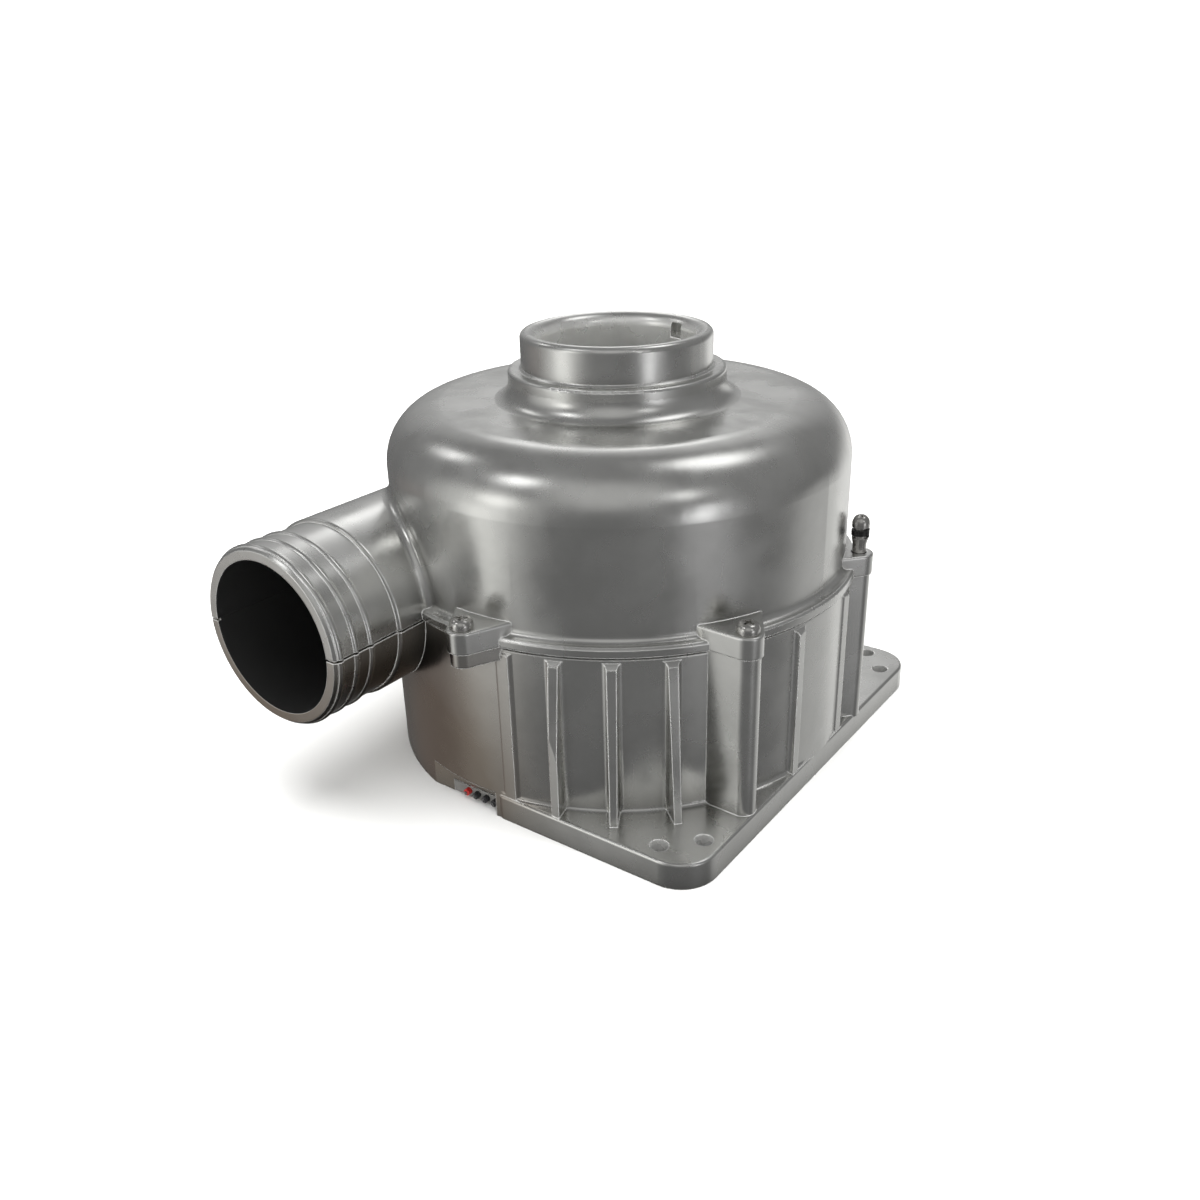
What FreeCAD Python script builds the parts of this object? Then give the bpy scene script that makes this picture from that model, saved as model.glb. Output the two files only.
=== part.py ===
import FreeCAD, Part
import math
import os
from FreeCAD import Vector

# High-pressure centrifugal blower, in millimetres.
# Origin: on the rotor axis, at the underside of the base. +Z is up, towards the inlet.
# The outlet points along -Y, tangential to the round housing on its -X side.

# Outer form, from the base up
lower_height = 35.4
plate_thickness = 5.0
plate_corner = 7.0
plate_end = 3.5
plate_end_round = 1.8
plate_edge_round = 0.5
foot_fillet = 0.8
joint_gap = 0.55
joint_depth = 0.7
joint_edge = 0.2
lip_overhang = 0.6
lip_height = 1.7
lip_root = 1.2
edge_chamfer = 0.4
dome_setback = 1.5
dome_height = 32.3
dome_shoulder = 10.5
dome_wall = 2.4
collar_step = 2.5
collar_height = 5.5
collar_root = 0.9
collar_edge = 0.6
inlet_radius = 17.9
inlet_length = 6.8
rim_round = 1.15
rim_inner_round = 2.3
key_width = 3.0
key_reach = 1.9
key_length = 2.8
key_angle = 73.0

# Outlet tube, split at the parting plane
outlet_radius = 16.4
outlet_wall = 2.2
outlet_reach = 64.6
hose_length = 14.4
hose_stop_step = 0.6
hose_stop_round = 0.5
mouth_chamfer = 0.5
ridge_first_distance = 1.3
ridge_pitch = 3.45
ridge_count = 3
ridge_width = 1.1
ridge_height = 0.35
outlet_tail = 18.0
outlet_tail_drop = 7.0
outlet_root = 1.6
channel_step = 0.5
channel_end = 40.0
seam_groove_height = 0.45
seam_groove_depth = 0.8
seam_mouth_depth = 0.6

# Lugs and their screws: angle from +X and stand-off of the screw from the wall.
# The rest of the ring is their mirror image in the vertical plane y = x.
plain_lug = (-87.3, 3.75)
front_post = (-30.3, 4.05)
side_post = (20.8, 1.0)
lug_nose_radius = 2.7
lug_splay = 28.0
lug_height = 4.0
lug_edge_round = 0.4
short_lug_depth = 2.6
post_setback = 0.35
lug_root_depth = 3.1
screw_shank_radius = 1.25
screw_head_radius = 2.0
screw_head_height = 1.8
screw_point = 0.3
screw_clearance = 0.2
thread_allowance = 0.03
long_screw_length = 12.0
raised_height = 3.0
raised_head_radius = 1.65
raised_head_height = 2.3
raised_band_height = 2.0
raised_band_inset = 0.2
raised_taper_height = 1.3

# Ribs on the lower housing's wall, by angle from +X, and mirrored like the lugs
rib_angles = (-80.9, -69.2, -57.0, -44.3, -12.0, 10.5)
rib_thickness = 1.3
rib_draft = 3.0
rib_root = 0.9
rib_root_sweep = 65.0
rib_root_sink = 0.8
rib_top_reach = 0.9
rib_foot_reach = 4.7
rib_top_gap = 1.6
rib_crest_gap = 0.8
rib_chamfer = 0.5

# Plate holes, in pairs beside each corner's diagonal
hole_inset = 8.75
hole_half_angle = 3.95
hole_radius = 1.65

# Air channel in the lower housing
tongue_gap = 1.7
deck_lap = 0.7
scroll_start = -78.0
scroll_start_extra = 0.4
scroll_sections = 11

# Motor room
deck_drop = 4.0
deck_thickness = 3.0
hub_radius = 9.0
shaft_hole = 4.0
bearing_web = 1.4
stator_radius = 26.0
stator_fit = 0.05
stator_ledge = 1.5
winding_room = 3.4
clamp_ring_width = 2.2
clamp_ring_height = 3.4
motor_wall_thickness = 2.6
end_cap_low = 7.0
end_cap_thickness = 2.6
cap_pocket_floor = 1.0
cap_window_inner = 11.5
cap_window_outer = 18.0
cap_window_sweep = 70.0
cap_screw_offset = 2.6
cap_screw_boss = 3.2
cap_screw_margin = 0.1
cap_screw_length = 7.0
cap_screw_start = 90.0
cover_margin = 6.1
cover_ledge = 4.9
cover_thickness = 2.0
cover_gap = 0.1
cover_screw_length = 7.0
cover_screw_shank_radius = 1.0
cover_screw_head_radius = 1.9
cover_screw_sink = 0.12
cover_screw_angles = (20.0, 110.0, 200.0, 300.0)
room_height = 8.0

# Gasket strip in the lower housing's rim
gasket_width = 1.4
gasket_depth = 1.0
gasket_start = -78.0
gasket_sweep = 262.0

# Rotor
shaft_radius = 2.5
shaft_end_gap = 0.4
shaft_bevel = 0.3
bearing_radius = 6.5
bearing_width = 4.0
bearing_inner = 3.6
bearing_outer = 5.3
seat_gap = 0.02
ball_radius = 0.95
ball_count = 6
race_gap = 0.08
spring_height = 0.6
spring_width = 1.6
rotor_radius = 9.0
magnet_radius = 12.6
magnet_inset = 0.3
magnet_gap = 0.25
magnet_count = 4
sleeve_wall = 0.3
spacer_height = 0.8
spacer_radius = 3.5
collar_rise = 2.2
collar_seat_radius = 3.4

# Impeller
impeller_radius = 29.5
impeller_hub = 6.0
impeller_hub_height = 10.8
hub_foot = 16.0
disc_thickness = 1.4
exit_width = 4.5
eye_radius = 14.2
eye_top = 15.8
eye_bend = 11.8
shroud_thickness = 1.2
shroud_knee = 22.0
shroud_rise = 1.5
shroud_knee_offset = 0.3
blade_count = 9
blade_thickness = 1.2
blade_inner_radius = 12.0
blade_wrap = 62.0
blade_points = 7
washer_radius = 4.5
washer_height = 0.8
nut_height = 3.2
nut_across = 7.0
nut_bevel = 0.5
thread_radius = 2.0
thread_end = 1.0
nozzle_gap = 0.7
nozzle_wall = 2.0
nozzle_throat_radius = 14.0
throat_length = 3.0
nozzle_rim_gap = 0.2
nozzle_flange = 23.4
nozzle_flange_gap = 0.3
nozzle_flange_thickness = 2.2
nozzle_seat_drop = 7.7
nozzle_screw_circle = 20.6
nozzle_screw_length = 6.0
nozzle_screw_start = 30.0
nozzle_thread_depth = 4.6

# Stator
tooth_count = 9
tooth_width = 4.0
yoke_width = 3.0
air_gap = 0.7
tooth_tip = 1.6
slot_opening = 2.2
insulator_thickness = 0.8
insulator_lap = 0.5
coil_thickness = 1.7
coil_gap = 0.1
coil_tip_gap = 0.7
coil_yoke_gap = 1.0

# Driver board
board_clearance = 0.7
board_thickness = 1.6
board_gap = 0.6
board_post_circle = 21.0
board_post_radius = 2.2
capacitor_radius = 2.5
capacitor_height = 9.0
capacitor_wall_gap = 0.15
capacitor_edge = 0.4
capacitor_angles = (14.0, 32.0, 150.0, 168.0)
transistor_count = 6
transistor_circle = 25.2
transistor_size = (5.0, 6.0, 1.0)
chip_size = (7.0, 7.0, 0.9)

# Cable exit in the foot of the wall, beside the plate's end
exit_recess = 2.0
flat_low_x = -13.5
exit_low_x = -8.4
exit_height = 2.5
exit_clearance = 0.1
lead_radius = 0.65
lead_height = 1.35
lead_pitch = 2.2
lead_first_x = -4.7
lead_count = 4
lead_reach = 0.9
lead_bend = 1.4
lead_rise_inset = 1.9
lead_gap = 0.4
grommet_flap = 0.5
grommet_depth = 6.6

# Sizes that follow from the ones above; the motor and its screws give the round wall its radius
stator_stop = stator_radius - stator_ledge
clamp_ring_inner = stator_radius - clamp_ring_width
motor_wall = stator_radius + motor_wall_thickness
cap_screw_circle = motor_wall + cap_screw_offset
room_radius = cap_screw_circle + cap_screw_boss + cap_screw_margin
cover_radius = room_radius + cover_ledge
cover_seat_radius = cover_radius + cover_gap
cover_screw_circle = cover_radius - cover_ledge / 2
wall_radius = cover_radius + cover_margin
plate_half = wall_radius
lip_radius = wall_radius + lip_overhang
dome_radius = wall_radius - dome_setback
cavity_radius = dome_radius - dome_wall
collar_radius = inlet_radius + collar_step
inlet_bore_radius = inlet_radius - rim_round - rim_inner_round
parting = lower_height
dome_top = parting + dome_height
cavity_top = dome_top - dome_wall
collar_top = dome_top + collar_height
total_height = collar_top + inlet_length
hose_stop_radius = outlet_radius + hose_stop_step
outlet_bore_radius = outlet_radius - outlet_wall
outlet_channel = outlet_bore_radius + channel_step
outlet_offset = wall_radius - hose_stop_radius
scroll_inner = impeller_radius + tongue_gap
scroll_outer = cavity_radius
scroll_half_width = (scroll_outer - scroll_inner) / 2
scroll_start_depth = scroll_half_width + scroll_start_extra
deck_radius = scroll_inner + deck_lap
deck_top = parting - deck_drop
deck_low = deck_top - deck_thickness
upper_bearing_top = deck_top - bearing_web
upper_bearing_low = upper_bearing_top - bearing_width
end_cap_seat = end_cap_low + end_cap_thickness
core_low = end_cap_seat + clamp_ring_height
core_top = deck_low - winding_room
cap_floor = end_cap_low + cap_pocket_floor
lower_bearing_low = cap_floor + spring_height
lower_bearing_top = lower_bearing_low + bearing_width
shaft_low = cap_floor + shaft_end_gap
rotor_low = lower_bearing_top + spacer_height
rotor_top = upper_bearing_low - spacer_height
impeller_low = upper_bearing_top + collar_rise
disc_top = impeller_low + disc_thickness
hub_top = impeller_low + impeller_hub_height
nut_low = hub_top + washer_height
stud_top = nut_low + nut_height + thread_end
shroud_rim = disc_top + exit_width
eye_height = impeller_low + eye_top
bend_height = impeller_low + eye_bend
nozzle_seat = dome_top - nozzle_seat_drop
air_gap_radius = magnet_radius + sleeve_wall + air_gap
coil_inner_radius = air_gap_radius + tooth_tip + coil_tip_gap
coil_outer_radius = stator_radius - yoke_width - coil_yoke_gap
room_ceiling = end_cap_seat + room_height
board_low = cover_thickness + board_gap
board_top = board_low + board_thickness
board_radius = room_radius - board_clearance
capacitor_circle = motor_wall + capacitor_radius + capacitor_wall_gap
gasket_radius = (cavity_radius + wall_radius) / 2
lug_top = parting + lug_height
post_nose = lug_nose_radius - post_setback
lug_root_radius = wall_radius - lug_root_depth
hole_circle = plate_half * math.sqrt(2) - hole_inset
exit_flat = wall_radius - exit_recess
lead_rise = board_radius - lead_rise_inset
exit_end = lead_rise - lead_radius - lead_gap
cap_screw_angles = [cap_screw_start + 120 * index for index in range(3)]
nozzle_screw_angles = [nozzle_screw_start + 120 * index for index in range(3)]


# The same lug or rib on the other side of the plane y = x.
def mirrored(place):
    return (90.0 - place[0], place[1])


posts = [front_post, side_post, mirrored(side_post), mirrored(front_post)]
plain_lugs = [plain_lug, mirrored(plain_lug)]
raised_post = side_post
rib_ring = list(rib_angles) + [90.0 - angle for angle in rib_angles]


def polar(radius, angle, z=0.0):
    a = math.radians(angle)
    return Vector(radius * math.cos(a), radius * math.sin(a), z)


def screw_spot(place):
    return polar(wall_radius + place[1], place[0])


def cylinder(radius, low, high, spot=Vector(0, 0, 0)):
    return Part.makeCylinder(radius, high - low, Vector(spot.x, spot.y, low))


def ring(outer, inner, low, high):
    return cylinder(outer, low, high).cut(cylinder(inner, low, high))


def block(low_corner, high_corner):
    size = Vector(*high_corner) - Vector(*low_corner)
    return Part.makeBox(size.x, size.y, size.z, Vector(*low_corner))


def turned_about(shape, angle):
    return shape.rotated(Vector(0, 0, 0), Vector(0, 0, 1), angle)


# A closed face in the plane y = 0 from (radius, height) points. A pair of points is an arc through the first.
def section(start, *steps):
    def at(point):
        return Vector(point[0], 0, point[1])
    edges = []
    here = start
    for step in steps + (start,):
        if isinstance(step[0], tuple):
            edges.append(Part.Arc(at(here), at(step[0]), at(step[1])).toShape())
            here = step[1]
        elif step != here:
            edges.append(Part.LineSegment(at(here), at(step)).toShape())
            here = step
    return Part.Face(Part.Wire(edges))


def turned(start, *steps, sweep=360.0):
    return section(start, *steps).revolve(Vector(0, 0, 0), Vector(0, 0, 1), sweep)


# The middle point of a quarter round between two tangent directions, for section's arcs.
def quarter(centre, radius, angle):
    a = math.radians(angle)
    return (centre[0] + radius * math.cos(a), centre[1] + radius * math.sin(a))


# Stands a shape that was turned about Z on the outlet's axis, with its height running along -Y.
def on_outlet_axis(shape):
    laid = shape.rotated(Vector(0, 0, 0), Vector(1, 0, 0), 90)
    return laid.translated(Vector(-outlet_offset, 0, parting))


# The tube's far end curves in behind the rotor axis, so that it dies out inside the dome.
def outlet_tube():
    stop = outlet_reach - hose_length
    corner = (hose_stop_radius - hose_stop_round, stop - hose_stop_round)
    steps = [(0, -outlet_tail), (hose_stop_radius - outlet_tail_drop, -outlet_tail)]
    steps.append(((hose_stop_radius - outlet_tail_drop / 4, -outlet_tail / 2), (hose_stop_radius, 0)))
    steps.append((hose_stop_radius, corner[1]))
    steps.append((quarter(corner, hose_stop_round, 45), (corner[0], stop)))
    steps.append((outlet_radius, stop))
    for index in reversed(range(ridge_count)):
        middle = outlet_reach - ridge_first_distance - index * ridge_pitch
        steps.append((outlet_radius, middle - ridge_width / 2))
        steps.append(((outlet_radius + ridge_height, middle), (outlet_radius, middle + ridge_width / 2)))
    steps.append((outlet_radius, outlet_reach - mouth_chamfer))
    steps.append((outlet_radius - mouth_chamfer, outlet_reach))
    steps.append((0, outlet_reach))
    return on_outlet_axis(turned(*steps))


# The bore of the tube, and the wider channel that brings the air to it past the impeller's rim.
def outlet_passage():
    bore = on_outlet_axis(turned((0, 0), (outlet_channel, 0), (outlet_channel, channel_end),
                                 (outlet_bore_radius, channel_end), (outlet_bore_radius, outlet_reach),
                                 (0, outlet_reach)))
    return bore.cut(cylinder(scroll_inner, 0, total_height))


# The shallow groove that shows where the two halves of the outlet tube meet.
def seam_groove():
    stop = outlet_reach - hose_length
    far = outlet_reach + 1
    wide = hose_stop_radius + ridge_height + 1
    strip = on_outlet_axis(turned((wide, 0), (hose_stop_radius - seam_groove_depth, 0),
                                  (hose_stop_radius - seam_groove_depth, stop),
                                  (outlet_radius - seam_groove_depth, stop),
                                  (outlet_radius - seam_groove_depth, far), (wide, far)))
    reach = 2 * outlet_reach
    face = outlet_reach - seam_mouth_depth
    strip = strip.fuse(on_outlet_axis(turned((0, face), (wide, face), (wide, far), (0, far))))
    strip = strip.common(block((-reach, -reach, parting - seam_groove_height), (reach, 0, parting)))
    return strip.cut(cylinder(wall_radius - joint_depth, 0, total_height))


def above_parting(shape):
    reach = 2 * outlet_reach
    return shape.common(block((-reach, -reach, parting), (reach, reach, total_height + 1)))


def below_parting(shape):
    reach = 2 * outlet_reach
    return shape.common(block((-reach, -reach, -1), (reach, reach, parting)))


# A lug or post seen from above: a nose round the screw, with flanks that splay out to the wall.
def lug(place, nose, low, high, edge_round=0.0):
    centre = screw_spot(place) + Vector(0, 0, low)
    distance = wall_radius + place[1]
    out = polar(1.0, place[0])
    side = Vector(-out.y, out.x, 0)
    s = math.sin(math.radians(lug_splay))
    c = math.cos(math.radians(lug_splay))
    flank = (distance + nose * s - lug_root_radius) / c
    left = centre + (side * c + out * s) * nose
    right = centre + (out * s - side * c) * nose
    left_root = left + (side * s - out * c) * flank
    right_root = right - (side * s + out * c) * flank
    edges = [Part.Arc(right, centre + out * nose, left).toShape(),
             Part.LineSegment(left, left_root).toShape(),
             Part.LineSegment(left_root, right_root).toShape(),
             Part.LineSegment(right_root, right).toShape()]
    body = Part.Face(Part.Wire(edges)).extrude(Vector(0, 0, high - low))
    if edge_round:
        rim = [edge for edge in body.Edges if edge.BoundBox.ZMin > high - edge_round
               and (edge.CenterOfMass - centre).dot(out) > lug_root_radius - distance + 1]
        body = body.makeFillet(edge_round, rim)
    return body


# An edge where the outlet tube's round meets the upright side of the dome.
def is_tube_seam(edge):
    box = edge.BoundBox
    on_dome = all(abs(math.hypot(v.X, v.Y) - dome_radius) < 0.01 for v in edge.Vertexes)
    low_end = abs(box.ZMin - parting - lip_height) < 0.01
    return on_dome and low_end and box.ZLength > 1.0 and box.XMin < -outlet_offset


def upper_housing():
    shoulder = (dome_radius - dome_shoulder, dome_top - dome_shoulder)
    root = (collar_radius + collar_root, dome_top + collar_root)
    ledge = (collar_radius - collar_edge, collar_top - collar_edge)
    rim = (inlet_radius - rim_round, total_height - rim_round)
    lip_top = parting + lip_height
    shell = turned((0, parting), (lip_radius, parting), (lip_radius, lip_top - edge_chamfer),
                   (lip_radius - edge_chamfer, lip_top), (dome_radius, lip_top),
                   (dome_radius, shoulder[1]),
                   (quarter(shoulder, dome_shoulder, 45), (shoulder[0], dome_top)),
                   (root[0], dome_top),
                   (quarter(root, collar_root, 225), (collar_radius, root[1])),
                   (collar_radius, ledge[1]),
                   (quarter(ledge, collar_edge, 45), (ledge[0], collar_top)),
                   (inlet_radius + edge_chamfer, collar_top), (inlet_radius, collar_top + edge_chamfer),
                   (inlet_radius, rim[1]),
                   (quarter(rim, rim_round, 45), (rim[0], total_height)),
                   (0, total_height))
    body = shell.fuse(above_parting(outlet_tube()))
    body = body.makeFillet(outlet_root, [edge for edge in body.Edges if is_tube_seam(edge)])
    body = body.fuse(fillet_ring(dome_radius, lip_top, lip_root))
    for place in posts + plain_lugs:
        body = body.fuse(lug(place, lug_nose_radius, parting, lug_top, lug_edge_round))
    body = body.removeSplitter()
    inner = dome_shoulder - dome_wall
    corner = (cavity_radius - inner, cavity_top - inner)
    throat = (inlet_bore_radius + rim_inner_round, total_height - rim_inner_round)
    body = body.cut(turned((0, parting), (cavity_radius, parting), (cavity_radius, corner[1]),
                           (quarter(corner, inner, 45), (corner[0], cavity_top)),
                           (nozzle_flange, cavity_top), (nozzle_flange, nozzle_seat),
                           (inlet_bore_radius, nozzle_seat), (inlet_bore_radius, throat[1]),
                           (quarter(throat, rim_inner_round, 135), (throat[0], total_height)),
                           (0, total_height)))
    body = body.cut(outlet_passage())
    key_top = total_height - rim_round
    key = block((inlet_bore_radius - 1, -key_width / 2, key_top - key_length),
                (inlet_radius - key_reach, key_width / 2, key_top))
    body = body.cut(turned_about(key, key_angle))
    for place in posts + plain_lugs:
        body = body.cut(cylinder(screw_shank_radius + screw_clearance, parting, lug_top, screw_spot(place)))
    for angle in nozzle_screw_angles:
        body = body.cut(cylinder(screw_shank_radius + thread_allowance, nozzle_seat,
                                 nozzle_seat + nozzle_thread_depth, polar(nozzle_screw_circle, angle)))
    return body


def plate():
    flat = block((-plate_half, -plate_half, 0), (plate_half, plate_half, plate_thickness))
    uprights = [edge for edge in flat.Edges if edge.BoundBox.ZLength > plate_thickness / 2]
    flat = flat.makeFillet(plate_corner, uprights)
    reach = 2 * plate_half
    flat = flat.cut(block((-reach, -reach, -1), (plate_end, plate_end, plate_thickness + 1)))
    ends = [edge for edge in flat.Edges if edge.BoundBox.ZLength > plate_thickness / 2
            and edge.BoundBox.DiagonalLength < plate_thickness + 0.01
            and max(-edge.CenterOfMass.x, -edge.CenterOfMass.y) > plate_half - 0.01]
    flat = flat.makeFillet(plate_end_round, ends)
    rim = [edge for edge in flat.Edges if edge.BoundBox.ZMin > plate_thickness / 2
           and max(edge.CenterOfMass.x, edge.CenterOfMass.y) > plate_end + 0.01]
    return flat.makeFillet(plate_edge_round, rim)


# A fillet in the corner between a round wall and the level face round its foot.
def fillet_ring(radius, floor, size):
    centre = (radius + size, floor + size)
    return turned((radius - size, floor - size / 2), (centre[0], floor - size / 2), (centre[0], floor),
                  (quarter(centre, size, 225), (radius, centre[1])), (radius - size, centre[1]))


# The fillet between the round wall and the plate, where there is a plate.
def foot_ring():
    edge = plate_half - plate_edge_round / 2
    reach = 2 * plate_half
    kept = block((-edge, -edge, 0), (edge, edge, parting))
    inset = plate_end + plate_edge_round
    kept = kept.cut(block((-reach, -reach, -1), (inset, inset, parting + 1)))
    return fillet_ring(wall_radius, plate_thickness, foot_fillet).common(kept)


# A rib seen from above: drafted flanks that run out into the wall through a fillet on each side.
def rib_plan():
    outer = wall_radius + rib_foot_reach
    half = rib_thickness / 2
    half_root = half + rib_foot_reach * math.tan(math.radians(rib_draft))

    def on_fillet(turn, side):
        turn = math.radians(turn)
        return Vector(wall_radius + rib_root * (1 - math.sin(turn)),
                      side * (half_root + rib_root * (1 - math.cos(turn))), 0)

    end = math.radians(rib_root_sweep)
    sides = []
    for side in (-1, 1):
        stop = on_fillet(rib_root_sweep, side)
        foot = stop + Vector(-math.cos(end), side * math.sin(end), 0) * rib_root_sink
        sides.append((Vector(outer, side * half, 0), on_fillet(0, side), on_fillet(rib_root_sweep / 2, side),
                      stop, foot))
    edges = [Part.LineSegment(sides[0][0], sides[1][0]).toShape(),
             Part.LineSegment(sides[0][4], sides[1][4]).toShape()]
    for tip, start, bend, stop, foot in sides:
        edges.append(Part.LineSegment(tip, start).toShape())
        edges.append(Part.Arc(start, bend, stop).toShape())
        edges.append(Part.LineSegment(stop, foot).toShape())
    return Part.Face(Part.Wire(Part.__sortEdges__(edges)))


# Its outer edge leans out towards the plate, and its top leans back to the wall below the rim.
def rib(angle):
    root = wall_radius - 2 * rib_root
    top = parting - rib_top_gap
    crest = parting - rib_crest_gap
    foot = plate_thickness - rib_chamfer
    low_reach = wall_radius + rib_foot_reach
    top_reach = wall_radius + rib_top_reach
    spread = 2 * rib_foot_reach
    upright = rib_plan().extrude(Vector(0, 0, parting)).common(
        section((root, foot), (low_reach, foot), (low_reach, plate_thickness), (top_reach, top - rib_chamfer),
                (top_reach - rib_chamfer, top), (wall_radius - rib_root / 2, crest), (root, crest)).extrude(
                    Vector(0, 2 * spread, 0)).translated(Vector(0, -spread, 0)))
    edge = plate_half - plate_edge_round / 2
    return turned_about(upright, angle).common(block((-edge, -edge, 0), (edge, edge, parting)))


# The air channel round the impeller: it deepens from the tongue to the outlet.
def scroll():
    middle = scroll_inner + scroll_half_width
    wires = []
    for index in range(scroll_sections):
        share = index / (scroll_sections - 1)
        angle = scroll_start + share * (180.0 - scroll_start)
        depth = scroll_start_depth + share * (outlet_bore_radius - scroll_start_depth)
        centre = polar(middle, angle, parting)
        side = polar(middle + scroll_half_width, angle, parting)
        oval = Part.Ellipse(centre + Vector(0, 0, depth), side, centre)
        wires.append(Part.Wire(oval.toShape()))
    return Part.makeLoft(wires, True, False)


def lower_housing():
    joint_low = parting - joint_gap
    joint_inner = wall_radius - joint_depth
    body = turned((0, 0), (wall_radius, 0), (wall_radius, joint_low - joint_edge),
                  (wall_radius - joint_edge, joint_low), (joint_inner, joint_low), (joint_inner, parting),
                  (0, parting))
    body = body.fuse(below_parting(outlet_tube()))
    body = body.fuse(plate())
    body = body.fuse(foot_ring())
    for angle in rib_ring:
        body = body.fuse(rib(angle))
    for place in posts:
        body = body.fuse(lug(place, post_nose, plate_thickness - plate_edge_round, parting))
    for place in plain_lugs:
        body = body.fuse(lug(place, post_nose, parting - short_lug_depth, parting))
    body = body.removeSplitter()
    body = body.cut(below_parting(scroll()))
    body = body.cut(below_parting(outlet_passage()))
    body = body.cut(cylinder(deck_radius, deck_top, parting))
    for room in motor_rooms() + screw_holes() + cable_exit() + [gasket(), seam_groove()]:
        body = body.cut(room)
    return body


def motor_rooms():
    rooms = [cylinder(cover_seat_radius, 0, cover_thickness),
             cylinder(room_radius, cover_thickness, end_cap_seat),
             cylinder(stator_radius + stator_fit, end_cap_seat, core_top),
             ring(stator_stop, hub_radius, upper_bearing_low, deck_low),
             cylinder(stator_stop, core_top, upper_bearing_low),
             cylinder(bearing_radius + seat_gap, upper_bearing_low, upper_bearing_top),
             cylinder(shaft_hole, upper_bearing_top, deck_top)]
    pocket = ring(room_radius, motor_wall, end_cap_seat, room_ceiling)
    for angle in cap_screw_angles:
        boss = cylinder(cap_screw_boss, end_cap_seat, room_ceiling, polar(cap_screw_circle, angle))
        pocket = pocket.cut(boss)
    return rooms + [pocket]


def screw_holes():
    threaded = screw_shank_radius + thread_allowance
    holes = [cylinder(hole_radius, 0, plate_thickness, spot) for spot in plate_holes()]
    for angle in cap_screw_angles:
        spot = polar(cap_screw_circle, angle)
        holes.append(cylinder(threaded, end_cap_seat, end_cap_seat + cap_screw_length, spot))
    for angle in cover_screw_angles:
        spot = polar(cover_screw_circle, angle)
        holes.append(cylinder(cover_screw_shank_radius + thread_allowance, cover_thickness,
                              cover_thickness + cover_screw_length, spot))
    for place in posts:
        holes.append(cylinder(threaded, parting - long_screw_length, parting, screw_spot(place)))
    for place in plain_lugs:
        holes.append(cylinder(threaded, parting - short_lug_depth, parting, screw_spot(place)))
    return holes


# The flat at the foot of the wall, and the slot behind it that lets the leads into the board's room.
def cable_exit():
    return [block((flat_low_x, -plate_half - 1, 0), (plate_end, -exit_flat, plate_thickness)),
            block((exit_low_x, -exit_flat, 0), (plate_end, -exit_end, exit_height))]


def plate_holes():
    spots = []
    for diagonal in (-45.0, 45.0, 135.0):
        spots.append(polar(hole_circle, diagonal - hole_half_angle))
        spots.append(polar(hole_circle, diagonal + hole_half_angle))
    return spots


def gasket():
    inner = gasket_radius - gasket_width / 2
    outer = gasket_radius + gasket_width / 2
    strip = turned((inner, parting - gasket_depth), (outer, parting - gasket_depth), (outer, parting),
                   (inner, parting), sweep=gasket_sweep)
    return turned_about(strip, gasket_start)


# A pan-head screw that points down, with a cross recess; seat is the height of the face under its head.
def pan_screw(spot, seat, length, height=screw_head_height):
    top = seat + height
    end = seat - length
    crown = ((screw_head_radius * 0.8, seat + 0.8 * height), (screw_head_radius * 0.45, top))
    body = turned((0, end), (screw_shank_radius - screw_point, end), (screw_shank_radius, end + screw_point),
                  (screw_shank_radius, seat), (screw_head_radius, seat),
                  (screw_head_radius, seat + 0.35 * height), crown, (0, top))
    return body.cut(cross_recess(screw_head_radius, top)).translated(Vector(spot.x, spot.y, 0))


# The cross recess's size goes with the head it is cut in.
def cross_recess(head, top):
    arm = head * 0.62
    half = head * 0.13
    depth = head * 0.4
    bar = block((-arm, -half, top - depth), (arm, half, top))
    return turned_about(bar.fuse(turned_about(bar, 90)), 25)


def pointing_up(screw, seat):
    return screw.rotated(Vector(0, 0, seat), Vector(1, 0, 0), 180)


def short_lug_screws():
    length = lug_height + short_lug_depth
    return Part.makeCompound([pan_screw(screw_spot(place), lug_top, length) for place in plain_lugs])


def long_lug_screws():
    driven = [place for place in posts if place != raised_post]
    return Part.makeCompound([pan_screw(screw_spot(place), lug_top, long_screw_length) for place in driven])


# The screw that is not driven home: a tall head over a narrower band and a taper, clear of its lug.
def raised_lug_screw():
    spot = screw_spot(raised_post)
    low = lug_top - long_screw_length + raised_height
    band_low = lug_top + raised_height
    band_top = band_low + raised_band_height
    top = band_top + raised_head_height
    band_radius = raised_head_radius - raised_band_inset
    rim = band_top + 0.3 * raised_head_height
    shoulder = (raised_head_radius * 0.83, band_top + 0.72 * raised_head_height)
    crown = (shoulder, (raised_head_radius * 0.4, top))
    body = turned((0, low), (screw_shank_radius - screw_point, low), (screw_shank_radius, low + screw_point),
                  (screw_shank_radius, band_low - raised_taper_height), (band_radius, band_low),
                  (band_radius, band_top), (raised_head_radius, band_top), (raised_head_radius, rim), crown,
                  (0, top))
    return body.cut(cross_recess(raised_head_radius, top)).translated(spot)


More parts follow.
